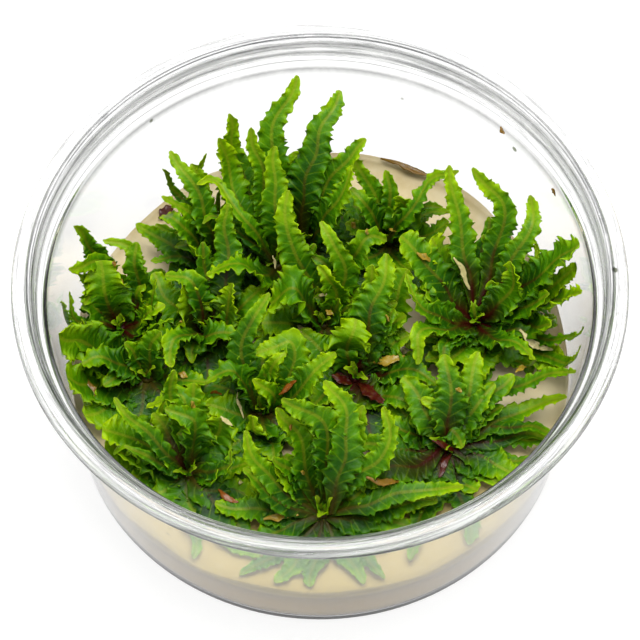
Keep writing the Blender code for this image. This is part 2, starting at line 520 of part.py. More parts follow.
def main():
    """Build the cup, the gel and every plantlet."""
    clear_scene()
    parts = new_collection("tissue_culture_downoi")
    cutters = new_collection("small_leaves")
    make_cup(parts)
    make_gel(parts)
    for name, stub, leaves in PLANTLETS:
        make_plantlet(name, stub, leaves, parts, cutters)


if __name__ == "__main__":
    main()
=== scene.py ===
"""Tissue culture downoi: the finished plantlets, gel and clear cup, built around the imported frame.

Everything is in metres with +Z up, and the origin is the centre of the cup's base. Places in the
plantlet table are in millimetres, and at() turns one to metres.
"""
import json
import math
import random

import bmesh
import bpy
import numpy as np
from bpy.props import FloatProperty, FloatVectorProperty, IntProperty, PointerProperty
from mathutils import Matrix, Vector, noise
from mathutils.bvhtree import BVHTree

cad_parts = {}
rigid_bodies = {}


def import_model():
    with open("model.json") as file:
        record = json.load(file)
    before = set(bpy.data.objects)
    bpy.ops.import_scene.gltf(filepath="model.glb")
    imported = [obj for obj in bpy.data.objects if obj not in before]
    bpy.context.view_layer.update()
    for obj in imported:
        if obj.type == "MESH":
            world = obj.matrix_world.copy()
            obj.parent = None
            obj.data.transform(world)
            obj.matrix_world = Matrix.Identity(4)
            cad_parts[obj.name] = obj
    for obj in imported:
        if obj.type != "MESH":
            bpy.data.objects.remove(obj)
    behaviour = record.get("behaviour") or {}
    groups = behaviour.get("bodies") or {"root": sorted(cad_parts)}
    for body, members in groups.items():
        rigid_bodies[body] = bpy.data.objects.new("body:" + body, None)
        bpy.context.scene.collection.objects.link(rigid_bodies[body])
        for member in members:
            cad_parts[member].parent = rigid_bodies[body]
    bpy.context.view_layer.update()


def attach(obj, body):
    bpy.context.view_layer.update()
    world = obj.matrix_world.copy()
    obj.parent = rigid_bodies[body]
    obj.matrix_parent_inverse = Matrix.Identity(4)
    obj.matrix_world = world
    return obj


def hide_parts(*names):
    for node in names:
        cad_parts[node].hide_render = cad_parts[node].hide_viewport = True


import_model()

bl_info = {
    "name": "Tissue Culture Downoi",
    "version": (1, 0, 0),
    "blender": (4, 5, 0),
    "location": "3D View > Sidebar > Downoi",
    "description": "Builds ruffled downoi plantlets on gel in a clear cup around the packed frame",
    "category": "Object",
}

MM = 0.001
TURN = 2 * math.pi

# Cup
RIM_RADIUS = 50.0 * MM
CUP_HEIGHT = 44.0 * MM
BASE_RADIUS = 42.6 * MM
FLOOR = 1.2 * MM
WALL = 0.8 * MM
SEAT_DEPTH = 5.4 * MM
SEAT_RADIUS = 45.4 * MM
MOUTH_RADIUS = 46.6 * MM
LIP = 1.2 * MM
LIP_ROUND = 0.4 * MM
LIP_FALL = 1.8 * MM
LIP_HOLLOW = 1.6 * MM
CORNER = 1.6 * MM
CORNER_SPLAY = 0.2 * MM
SEAT = CUP_HEIGHT - SEAT_DEPTH
INNER_FOOT = BASE_RADIUS - WALL

# Patterns of the plastic: distance between specks, size of the clouds in its film and its upper
# limit, and the mould lines, which are drawn out around the cup
SPECK_SPACING = 4.762 * MM
FILM_CLOUD = 18.182 * MM
STREAK_STRETCH = 26.0
STREAK = 16.129 * MM
FINE_STREAK = 5.8824 * MM
FILM_TOP = 26 * MM

# Tint of the plastic's gloss
GLOSS = "#595959"

# Painted shade: dark rings on the plastic where the edges of the seat, the lip's ridge and its rim
# show dark; where they begin and end, and each one's radius and half width in millimetres and its
# strength
RINGS_FROM = 45.0
RINGS_TO = 50.0
PAINTED_EDGE_RINGS = ((45.35, 0.12, 0.8), (46.85, 0.14, 1.0), (47.25, 0.26, 1.0), (49.88, 0.12, 0.8))

# Gel, with the waves of its top and the creep of its edge up the wall
GAP = 0.3 * MM
GEL_TOP = 12.7 * MM
GEL_STEPS = 180
GEL_RINGS = 22
WAVE = 9.0909 * MM
SMALL_WAVE = 2.38095 * MM
CREEP_WAVE = 14.2857 * MM
CREEP_WIDTH = 1.2 * MM
CREEP_HEIGHT = 2.6 * MM

# Clouds in the gel, and the edge along Y of the painted shadow on its front part, where the cup's
# wall and lip shade it
GEL_CLOUD = 10.526 * MM
FRONT_SHADE_FROM = 2 * MM
FRONT_SHADE_TO = -22 * MM
FRONT_SHADE_WANDER = 24 * MM

# Layers of the gel's side: height over the base in millimetres and the colour laid over the gel's
GEL_LAYERS = (
    (1.27, "#B5A67C"),
    (5.334, "#F9E4AF"),
    (7.874, "#EDD9A6"),
    (11.43, "#CBBA8E"),
    (12.319, "#FFFFFF"),
)

# Stem, the short stub that a plantlet's leaves grow from
STUB_FOOT_RADIUS = 1.9 * MM
STUB_TOP_RADIUS = 0.9 * MM
STUB_HEIGHT = 3.6 * MM
STUB_SLIMNESS = 0.8
STUB_SIDES = 14
STUB_RINGS = 12

# Leaf blade
ROOT_REACH = 1.25 * MM
ROOT_RISE = 0.7
INNER_ROOT_REACH = 0.4 * MM
INNER_ROOT_HEIGHT = 2.0 * MM
ROOT_SHARE = 0.3
MIDDLE = 0.46
TIP_SHARE = 0.30
BROAD_WIDTH = 6.9 * MM
BROAD_TIP_SHARE = 0.55
ROUND_START = 0.90
CURVE_STEPS = 12
SPINE_STEPS = 60
WALL_CLEARANCE = 0.5 * MM

# Relief of a blade: its twist in radians, the slow sway of its midrib, the depth of its ruffles as a
# share of its half width, its fold along the midrib, the bulges between its veins and its midrib
TWIST = 0.45
SWAY_LENGTH = 11 * MM
SWAY = 0.35 * MM
RUFFLE_DEPTH = (0.28, 0.50)
SMALL_RUFFLE_DEPTH = 0.22
RUFFLE_REACH = 3.6
FOLD = 0.3
VEIN_SLANT = 0.7
BULGE = 0.09 * MM
RIB_WIDTH = 0.34 * MM
RIB_FOOT = 0.30 * MM
RIB_FALL = 0.46 * MM

# Patterns on a leaf in millimetres, as its shader reads them: patches of green, puckers and blots
PATCH = 3.0303
PUCKER = 0.454545
BLOT = 0.909091

# Faces of the blades: columns of a large one, then rows and columns of a small leaf, of one beside
# another, of a young one, of a skirt leaf and of a scrap
ACROSS = 14
SMALL_GRID = (60, 10)
BESIDE_GRID = (32, 6)
YOUNG_GRID = (28, 8)
SKIRT_GRID = (34, 6)
SCRAP_GRID = (20, 6)

# Width of a finished blade against the table's, and of the leaf beside it
FULLNESS = 1.12 * MM
FLAT_FULLNESS = 0.75 * MM
BESIDE_FULLNESS = 0.9 * MM

# The leaf beside another: how far it is turned from it in degrees, and its size against it
BESIDE_TURN = (9, 26)
BESIDE_SIZE = (0.6, 0.86)
BESIDE_HEIGHT = 0.9

# Young leaves of each crown: how many, the turn from one to the next and the range of their rise in
# degrees, and the ranges of their length and width in millimetres
YOUNG_COUNT = 3
YOUNG_TURN = 137.5
YOUNG_RISE = (50, 80)
YOUNG_LENGTH = (3.0, 5.5)
YOUNG_WIDTH = (1.2, 1.9)

# Skirt leaves, which lie low around each crown: how many, the range of their bearing in degrees, of
# their length and of their width, how far out their tips may be, and their heights over the gel in
# millimetres at shares of their length
SKIRT_COUNT = 11
SKIRT_SHIFT = 12
SKIRT_LENGTH = (9.5, 16.0)
SKIRT_WIDTH = (4.8, 6.6)
SKIRT_LIMIT = 37 * MM
SKIRT_HEIGHTS = ((0.04, 2.0), (0.35, 2.5), (0.7, 1.8), (1.0, 0.9))
SKIRT_CALM = 0.35

# How much darker than the table's leaves the others are
FLAT_AGE = 0.06
BESIDE_AGE = 0.10
YOUNG_AGE = -0.02
SKIRT_AGE = 0.12

# Scraps: how far their places are lifted, how near a surface has to be for one to lie on it, and the
# room left under it, or between a fleck and the wall
SCRAP_LIFT = 0.6 * MM
SCRAP_REACH = 4 * MM
SCRAP_CLEARANCE = 0.25 * MM
FLECK_CLEARANCE = 0.02 * MM

# Camera: its place and the point it looks at in millimetres, its lens and its sensor's width
CAMERA_PLACE = (0, -197.2, 376.2)
CAMERA_TARGET = (0, 0, 28.17)
LENS = 134.7
SENSOR = 36.0

# Soft lights: name, place in millimetres, side in metres, and share of the key light's power
LIGHTS = (
    ("key", (60, 60, 800), 0.5, 1.0),
    ("front", (-350, -700, 600), 0.5, 0.14),
)
LIGHT_TARGET = (0, 0, 20)

# Brightness of the surroundings near the horizon and overhead, and of the floor
SKY_LOW = 0.16
SKY_HIGH = 0.68
FLOOR_SIZE = 24.0
FLOOR_DROP = 0.3 * MM
FLOOR_GLOW = 0.84
WHITE = (1, 1, 1, 1)

# Plantlets whose crowns are red-brown, and leaves that are dying
RED_PLANTLETS = ("right", "front_right", "centre", "mid_left", "upper_left")
DYING_LEAVES = {"red": 0.6, "ember": 1.0, "brown_a": 0.6, "brown_b": 0.5}

# name, place of its stub (x, y), then its leaves: name, width, root (bearing in degrees, height over
# the gel) or None for a small leaf that is one with the stub, and three points that it passes through
PLANTLETS = (
    ("back_left", (-19, 19), (
        ("horn", 3.8, (15, 5.5), (-19.5, 21.5, 26), (-22, 25, 32), (-25.5, 29.5, 35)),
        ("fork", 4.8, (130, 6), (-21.5, 22.5, 22.5), (-20.5, 25.5, 27), (-22, 29, 31.5)),
        ("shelf", 3.2, (180, 5.5), (-21.5, 19, 21.5), (-24.5, 20, 28), (-28, 23.5, 23)),
        ("crook", 1.6, None, (-20.5, 23.5, 20.5), (-25, 28, 24.5), (-27, 27, 32.5)),
        ("twig", 1.6, None, (-19.5, 23, 21), (-21, 28, 27), (-19.5, 29, 34.5)),
        ("floor", 4, None, (-23, 19, 16.5), (-28, 22, 18), (-32, 24, 20.5)),
        ("patch", 2.8, None, (-19.5, 20.5, 22.5), (-23, 22.5, 27.5), (-27, 22.5, 31)),
        ("round", 4.8, None, (-18.5, 16.5, 20), (-21, 15.5, 23.5), (-22.5, 16.5, 25.5)),
        ("drape", 4.6, None, (-21.5, 18, 16.5), (-25, 18, 18.5), (-29.5, 17, 19.5)),
    )),
    ("back_mid", (-7.5, 18.5), (
        ("plume", 5.6, (155, 2.5), (-13, 22.5, 24), (-15.5, 28, 29.5), (-17, 30, 38)),
        ("spear", 4.4, (125, 2), (-11.5, 25, 23), (-14.5, 31.5, 29.5), (-15.5, 34.5, 38.5)),
        ("lance", 4, (130, 6), (-9, 24, 23.5), (-10, 28, 30.5), (-12, 32, 38)),
        ("peak", 5, (55, 5.5), (-7.5, 25, 22.5), (-8, 34, 34), (-3.5, 41, 40.5)),
        ("shield", 5.2, None, (-7, 21, 24), (-8, 26, 31), (-7.5, 30, 35.5)),
        ("side", 2.6, None, (-12, 19, 27), (-17.5, 25.5, 30.5), (-21, 24, 32.5)),
        ("saddle", 5.4, None, (-10, 12.5, 21), (-13.5, 12, 26.5), (-19.5, 11, 24.5)),
    )),
    ("back_high", (-2, 23), (
        ("mast", 5.6, (180, 6), (-3, 25.5, 25.5), (0, 32.5, 35), (3.5, 39.5, 38.5)),
        ("crest", 4.8, (35, 5.5), (-0.5, 25, 24.5), (4, 28.5, 32.5), (8, 30.5, 36.5)),
        ("bright", 5.4, (-20, 2.5), (0.5, 22, 23.5), (3, 23, 29), (5.5, 27, 34)),
        ("dark", 6.4, None, (-3.5, 27, 21), (-2.5, 30, 25.5), (-5, 32.5, 29.5)),
    )),
    ("back_right", (12, 23.5), (
        ("arm", 3.8, (120, 4), (10.5, 25.5, 21.5), (8, 28, 27.5), (6, 30.5, 32)),
        ("flag", 5.4, (-50, 6), (14, 23, 21.5), (15, 24.5, 23), (13.5, 24.5, 28)),
        ("arch", 3, (-105, 6), (14.5, 21, 26.5), (19, 26, 30.5), (23.5, 25.5, 35)),
        ("yellow", 3.6, None, (12, 24.5, 20.5), (12.5, 27, 25.5), (11, 29.5, 28.5)),
        ("short", 4.6, None, (10, 23, 21), (7.5, 24, 26.5), (5.5, 26.5, 28)),
        ("low", 3, None, (15.5, 23, 20), (19, 25, 21.5), (23, 24.5, 23.5)),
        ("west", 5.2, None, (10, 24, 15.5), (7.5, 23.5, 17.5), (4.5, 24.5, 19.5)),
        ("south", 5.2, None, (12.5, 21, 15), (13.5, 17.5, 17.5), (16, 15, 19)),
        ("hollow", 5.2, None, (10.5, 21, 15.5), (8.5, 18.5, 17), (5.5, 17, 18.5)),
        ("east", 5.4, None, (15.5, 23, 16), (19, 22, 20), (22.5, 23.5, 21.5)),
    )),
    ("mid_back", (0.5, 6.5), (
        ("rise", 5.2, (115, 3.5), (-2, 12, 22.5), (-6, 16.5, 30.5), (-5, 21, 35.5)),
        ("cape", 6.4, (190, 6), (-2, 6.5, 21), (-4.5, 6.5, 27), (-8.5, 7, 22)),
        ("point", 4.6, (65, 3), (3.5, 13, 20.5), (7.5, 14.5, 29.5), (11.5, 16.5, 27.5)),
        ("blade", 4.2, None, (4, 11, 24), (2.5, 14, 30), (0, 17, 32)),
        ("curl", 4, None, (2.5, 9, 20.5), (1.5, 10, 25.5), (-0.5, 11.5, 26.5)),
        ("spike", 2.2, None, (-2, 8.5, 19.5), (-2.5, 9.5, 22), (-3, 10.5, 27)),
        ("stub", 3.6, None, (2.5, 7, 17.5), (3, 7, 20.5), (3, 7.5, 22.5)),
        ("under", 6.4, None, (-2.5, 5.5, 15), (-5.5, 5, 17.5), (-10, 5, 18.5)),
        ("veil", 5.4, None, (3, 7, 16.5), (5, 8.5, 19.5), (5.5, 12, 20.5)),
    )),
    ("right", (27, 7), (
        ("tall", 4.2, (110, 6), (25.5, 12.5, 23), (23, 20.5, 31.5), (22, 25.5, 36.5)),
        ("whip", 4.2, (80, 6), (29.5, 13.5, 23), (31, 20.5, 31.5), (25.5, 24, 37.5)),
        ("hook", 3.8, (50, 5), (31, 11, 21.5), (35.5, 17, 29.5), (36.5, 24, 29.5)),
        ("fan_a", 6.4, (25, 4), (33, 9, 20.5), (38, 9, 29.5), (43, 9.5, 37.5)),
        ("fan_c", 5.8, (0, 1), (34, 9, 16), (38.5, 7, 22), (43, 2, 33.5)),
        ("front", 5.4, (0, 5.5), (30, 6.5, 20), (32.5, 7.5, 25.5), (32, 10, 30.5)),
        ("gold", 2, None, (33, 12.5, 19), (36.5, 13.5, 25.5), (37, 17, 25.5)),
        ("fan_b", 4.6, None, (33, 8.5, 16), (38, 8, 24.5), (44, 8, 32.5)),
        ("fan_d", 4, None, (31.5, 4.5, 17), (39, 4.5, 19), (41, 6.5, 17)),
        ("dark", 6.4, None, (25, 11, 18.5), (21.5, 15, 22.5), (19, 17, 26.5)),
        ("shade", 6, None, (23.5, 8.5, 17.5), (19.5, 9, 21.5), (17, 12, 23.5)),
        ("wave", 3.6, None, (24.5, 3.5, 18.5), (21.5, -0.5, 21.5), (19, -1, 20.5)),
        ("ribbon", 3.6, None, (23, 4.5, 19.5), (17.5, 3.5, 25.5), (14.5, 9, 28.5)),
        ("drop", 4, None, (22.5, 2.5, 20.5), (16.5, -1, 25.5), (16.5, -5.5, 22.5)),
        ("thread_a", 2.2, None, (33.5, 3.5, 17), (41, -0.5, 22.5), (44, -4, 32.5)),
        ("thread_b", 2.6, None, (33.5, 2.5, 15.5), (41, -4, 20.5), (43.5, -6.5, 30.5)),
        ("skirt", 6.2, None, (31, 2.5, 16), (37, -0.5, 17), (41.5, -2.5, 19.5)),
        ("brow", 4.2, None, (29, 2, 18.5), (32.5, -1, 22.5), (36.5, -3.5, 20.5)),
        ("long", 6.2, None, (22.5, 9, 19.5), (18.5, 13, 24.5), (13.5, 16, 28.5)),
        ("south_a", 5.8, None, (26, 3.5, 15), (24, 0, 18), (20.5, -3, 18)),
        ("south_b", 5.8, None, (28, 2.5, 15.5), (28, -1, 16.5), (27, -5.5, 17.5)),
        ("south_c", 5.2, None, (25, 3.5, 16.5), (21.5, 0, 17.5), (18, -2.5, 18.5)),
    )),
    ("front_right", (21, -17), (
        ("sweep", 3, (80, 1), (26.5, -11, 18), (34.5, -8, 21), (42.5, -9.5, 28.5)),
        ("plank", 3.6, (40, 1), (27.5, -14, 14), (34.5, -16, 15.5), (39.5, -15.5, 17.5)),
        ("skid", 5.8, (-30, 3.5), (25.5, -18.5, 15), (30, -21, 15.5), (34, -23, 16.5)),
        ("red", 5.8, (-130, 5), (17, -21.5, 17.5), (11, -24, 20.5), (4, -25.5, 17.5)),
        ("wide", 3.4, None, (27.5, -15, 17), (35.5, -10.5, 17), (41.5, -10.5, 20)),
        ("heel", 5.4, None, (22.5, -20.5, 14), (24, -23, 14), (26, -25.5, 15)),
        ("dusk", 5.2, None, (17.5, -15.5, 15.5), (14, -15, 17.5), (10.5, -14.5, 18.5)),
        ("bow", 3.4, None, (21.5, -16, 16.5), (22, -16, 18.5), (24, -18, 16.5)),
        ("tab", 3.4, None, (21, -15, 18.5), (19.5, -13, 21.5), (17, -11.5, 22.5)),
        ("frill", 4, None, (23.5, -14.5, 18), (26, -12.5, 21.5), (29.5, -9.5, 23)),
        ("tail", 6, None, (19, -22, 15), (14.5, -26.5, 16), (11.5, -28, 14.5)),
        ("north_a", 5.4, None, (21.5, -14.5, 19.5), (21.5, -11, 23.5), (21, -5.5, 26.5)),
        ("north_b", 5.4, None, (22.5, -14.5, 18.5), (25, -10.5, 22.5), (26.5, -4.5, 25.5)),
        ("north_c", 5.2, None, (23.5, -14, 17), (27.5, -11, 20.5), (32.5, -7.5, 23)),
        ("corner", 5.4, None, (19.5, -15, 18.5), (16.5, -11.5, 21.5), (14, -7.5, 22.5)),
        ("west", 5.8, None, (17.5, -15.5, 15.5), (14.5, -12, 16.5), (12, -8, 17)),
        ("drape_a", 6.2, None, (22.5, -22.5, 14), (24.5, -29, 14), (24, -34, 14)),
        ("drape_b", 5.4, None, (21, -23, 14.5), (16.5, -30, 14), (14.5, -37, 14.5)),
    )),
    ("centre", (6, -4), (
        ("lobe", 6.4, (125, 5.5), (5, -1.5, 18.5), (5, -1, 24), (6, 1.5, 26)),
        ("reach", 5.8, (60, 6), (8, 1.5, 23), (10.5, 7, 29.5), (11.5, 11, 31.5)),
        ("east", 4.4, (-5, 1), (10.5, -4, 16), (15.5, -5.5, 20.5), (20, -7.5, 20)),
        ("slab", 7, None, (9.5, 2, 17), (12.5, 6.5, 21.5), (15, 11.5, 25.5)),
        ("ridge", 4, None, (7, 1, 18), (9.5, 4.5, 23.5), (13, 5.5, 25)),
        ("mitten", 5.2, None, (9.5, -7.5, 15.5), (13, -9.5, 19), (16.5, -11.5, 18.5)),
        ("shadow", 5.8, None, (8, -1, 17), (10, 2.5, 18.5), (14.5, 4.5, 22.5)),
        ("north", 4.4, None, (6, 0.5, 18.5), (7.5, 5.5, 23.5), (9, 9, 31)),
        ("back", 5.8, None, (3.5, -1, 15.5), (-0.5, 0.5, 17.5), (-3.5, 3, 19.5)),
        ("west", 5.4, None, (3.5, -5.5, 15.5), (1, -8, 17), (-1.5, -11, 18.5)),
        ("rear", 5.2, None, (9, -1, 16), (12, 0.5, 18.5), (15.5, 1.5, 20)),
        ("ember", 5.8, None, (7, -6.5, 15.5), (9.5, -8.5, 16.5), (12, -10, 16.5)),
    )),
    ("front", (0.5, -29.5), (
        ("great", 5.2, (-25, 5), (3, -26.5, 22.5), (4.5, -19, 28), (1, -13.5, 32.5)),
        ("sickle", 3.8, (25, 4), (4, -27, 20), (11.5, -22.5, 27), (10, -17.5, 30.5)),
        ("runner", 4.6, (5, 1), (5, -28.5, 14), (12.5, -28.5, 16.5), (19.5, -28, 17.5)),
        ("span", 5.2, (95, 6), (1, -27, 20.5), (0.5, -20, 28.5), (-6, -18, 34.5)),
        ("thumb", 3.6, None, (0, -26.5, 17), (-1, -23, 19), (-2, -21.5, 22)),
        ("quill", 2.6, None, (1, -26, 17), (1.5, -24.5, 21.5), (1.5, -22.5, 24)),
        ("wing", 4, None, (-2.5, -27.5, 16.5), (-5, -25.5, 20.5), (-7.5, -23.5, 23.5)),
        ("twin", 4.6, None, (2, -25, 19), (6, -20, 25.5), (7, -17, 30)),
        ("east", 4, None, (3, -27.5, 14.5), (5.5, -28, 18), (7.5, -24.5, 16.5)),
        ("west", 5, None, (-4.5, -29, 14.5), (-11.5, -29, 15.5), (-17.5, -28, 16)),
        ("lean", 4, None, (-4, -28, 17.5), (-9.5, -25, 22.5), (-12.5, -20.5, 27.5)),
        ("cross", 4.4, None, (-1.5, -26, 18), (-3.5, -21, 26), (-7, -18.5, 32)),
        ("bridge", 3.4, None, (6.5, -29.5, 18), (17, -27.5, 20.5), (24, -26, 17.5)),
        ("straw", 3, None, (-3, -30, 14), (-6.5, -30, 14.5), (-9.5, -31, 14.5)),
        ("drape_a", 5.8, None, (-2, -33, 14), (-4.5, -37.5, 14), (-7, -41, 14)),
        ("drape_b", 6.2, None, (0, -33, 14), (-1, -37.5, 14), (-1.5, -41.5, 14)),
        ("drape_c", 4.6, None, (-3.5, -32, 14), (-8, -36.5, 14), (-13, -39.5, 14)),
        ("drape_d", 5.2, None, (2, -32.5, 14), (5, -37.5, 14), (7, -41, 14)),
        ("drape_e", 4.4, None, (3.5, -31.5, 14), (7.5, -36, 14), (10.5, -40, 14)),
    )),
    ("front_left", (-22, -22), (
        ("fan_a", 7, (150, 3.5), (-27, -18.5, 16), (-31.5, -18, 19.5), (-36, -17.5, 23)),
        ("nod", 4.6, (50, 6), (-21.5, -20.5, 21), (-20.5, -17.5, 26), (-25.5, -16.5, 27.5)),
        ("east", 4, (-15, 1.5), (-18.5, -21.5, 15.5), (-14.5, -22, 16.5), (-10.5, -21.5, 19)),
        ("stub", 4, None, (-23.5, -21.5, 17.5), (-25, -21, 19.5), (-27, -20, 20.5)),
        ("vane", 2.6, None, (-25, -21, 20), (-31, -17.5, 26), (-33.5, -14.5, 28.5)),
        ("fan_b", 7.2, None, (-27, -20.5, 14), (-31.5, -18.5, 15), (-36, -18, 18)),
        ("tip", 2.6, None, (-19.5, -22.5, 17), (-15, -24, 21), (-15, -21, 22.5)),
        ("hem", 5.8, None, (-24.5, -23.5, 14.5), (-26.5, -25.5, 15), (-28, -25.5, 14.5)),
        ("foot", 5.8, None, (-22, -25, 14.5), (-21.5, -27.5, 14.5), (-20.5, -29, 14.5)),
        ("plate", 6.4, None, (-19, -25.5, 15.5), (-13.5, -25.5, 14), (-9.5, -27, 14.5)),
        ("deep", 7.2, None, (-20, -20, 17), (-17.5, -17.5, 19), (-16.5, -16, 23.5)),
        ("ember", 5.2, None, (-23.5, -21, 18.5), (-25.5, -18, 21.5), (-27.5, -15.5, 24.5)),
        ("fork", 4.6, None, (-22.5, -18, 20), (-23, -13, 25), (-29, -13, 22)),
        ("prong", 3.6, None, (-21, -17, 21), (-25, -13.5, 25.5), (-23.5, -11, 31)),
        ("tower", 6, None, (-21, -19, 17.5), (-20.5, -15.5, 21), (-21, -11, 26.5)),
        ("drape_a", 4, None, (-21.5, -27.5, 14), (-20.5, -32, 14), (-20.5, -36.5, 14)),
        ("drape_b", 6, None, (-19, -27.5, 14), (-15, -32.5, 14), (-10, -36.5, 14)),
    )),
    ("left", (-29.5, -4), (
        ("claw", 5.2, (175, 3.5), (-32, -3.5, 17.5), (-36.5, -4.5, 23), (-40, -5.5, 23)),
        ("broad", 7.2, (135, 3), (-33.5, -1, 15), (-38.5, -1.5, 21.5), (-43.5, -4, 30)),
        ("flat", 7.8, None, (-34, -6, 15.5), (-38.5, -7, 17.5), (-42.5, -9, 25)),
        ("low", 6.4, None, (-32.5, -6.5, 15), (-36.5, -10.5, 16.5), (-39.5, -13, 18.5)),
        ("up", 5.4, None, (-28.5, -3, 18.5), (-28.5, -1, 21.5), (-27, 0, 24.5)),
        ("leaf", 4, None, (-31, -2.5, 17.5), (-31.5, -1.5, 20.5), (-33, -1.5, 22.5)),
        ("gold", 4, None, (-26.5, -4, 15.5), (-23, -5, 16.5), (-19, -6.5, 17.5)),
    )),
    ("upper_left", (-34.5, 6), (
        ("wave", 3.6, (125, 3), (-36.5, 10.5, 19.5), (-38.5, 14, 27), (-41, 13.5, 36)),
        ("wall_a", 3.6, (-150, 2.5), (-38.5, 3.5, 16.5), (-42, 1.5, 22.5), (-43, 2, 31.5)),
        ("beak", 3.6, None, (-35.5, 9.5, 20.5), (-37.5, 12, 26.5), (-42, 8, 31.5)),
        ("wisp", 2.8, None, (-31, 12, 22.5), (-33, 15, 26.5), (-37, 16.5, 27.5)),
        ("pale", 5, None, (-30.5, 10, 20.5), (-32, 12.5, 25.5), (-31, 15, 28.5)),
        ("wall_b", 2, None, (-37.5, 4.5, 18.5), (-41.5, 4, 21.5), (-42.5, 7, 25.5)),
        ("sheet", 6.4, None, (-36.5, 6.5, 17.5), (-38.5, 7, 21.5), (-39.5, 9.5, 24.5)),
        ("spot", 7.2, None, (-36, 7.5, 20.5), (-37, 9, 24.5), (-37.5, 12, 27.5)),
        ("rod", 2.8, None, (-29.5, 5.5, 19), (-28.5, 6.5, 23), (-28, 9.5, 26)),
        ("nib", 3.6, None, (-31, 5, 17.5), (-29, 5.5, 21.5), (-26.5, 6.5, 22.5)),
        ("bent", 2.6, None, (-31, 2, 17.5), (-28.5, 2.5, 21.5), (-25, 3, 23.5)),
    )),
    ("mid_left", (-19.5, 4.5), (
        ("brown_b", 5.4, (-10, 4.5), (-17, 5, 17.5), (-15.5, 6, 22), (-15, 8.5, 26)),
        ("high", 5.2, (75, 4), (-16, 9, 21.5), (-16, 15.5, 26.5), (-16, 20, 33)),
        ("brown_a", 5.4, None, (-21.5, 5.5, 17.5), (-22.5, 6.5, 22.5), (-23, 9, 25.5)),
        ("dart", 5.4, None, (-20, 2, 18.5), (-17.5, 1, 21.5), (-14, 1.5, 20.5)),
        ("bend", 4, None, (-20.5, 6, 20.5), (-22, 9.5, 25.5), (-26.5, 11, 24.5)),
        ("sag", 4, None, (-21.5, 2, 19.5), (-24.5, -1, 23.5), (-25, -5.5, 21.5)),
        ("flare", 5.8, None, (-22.5, 7, 16.5), (-26, 9, 19.5), (-29, 13, 21.5)),
        ("low", 4.4, None, (-22.5, 3.5, 15.5), (-25.5, 3, 17.5), (-28.5, 0.5, 18.5)),
        ("shade", 5.4, None, (-15.5, 6, 16), (-13, 7.5, 20), (-10, 11.5, 20.5)),
    )),
    ("inner", (-10, -10.5), (
        ("bow", 5.2, (45, 3), (-5.5, -7, 19), (-5, -1.5, 23.5), (-11, -3.5, 22)),
        ("knife", 5.2, (0, 2.5), (-5, -10, 19), (-1.5, -9, 24.5), (2.5, -6, 28)),
        ("slat", 4, None, (-13, -4, 21.5), (-11.5, 0.5, 27.5), (-8.5, 4, 30.5)),
        ("knob", 3.6, None, (-8.5, -7.5, 19.5), (-7.5, -6, 24.5), (-6, -4.5, 25.5)),
        ("fang", 3.4, None, (-8, -10.5, 18.5), (-8.5, -10, 21.5), (-11, -9, 24.5)),
        ("paw", 4.6, None, (-12, -9.5, 18.5), (-14.5, -7, 23.5), (-19, -9, 22.5)),
        ("flap", 4, None, (-9.5, -15, 16.5), (-11, -16, 18.5), (-11, -14.5, 21.5)),
        ("west", 5.8, None, (-12.5, -11.5, 15.5), (-15.5, -11.5, 17), (-19.5, -11, 18.5)),
        ("corner", 5.8, None, (-12, -13.5, 15), (-14, -16, 15.5), (-16, -18.5, 16)),
        ("south", 5.4, None, (-9.5, -14.5, 15), (-8.5, -17, 15.5), (-7.5, -20, 16)),
    )),
)


# Kinds of dead scraps, each with its place on the scale from red to cream
KINDS = {"red": 0.1, "tan": 0.3, "orange": 0.5, "gold": 0.7, "cream": 0.9}

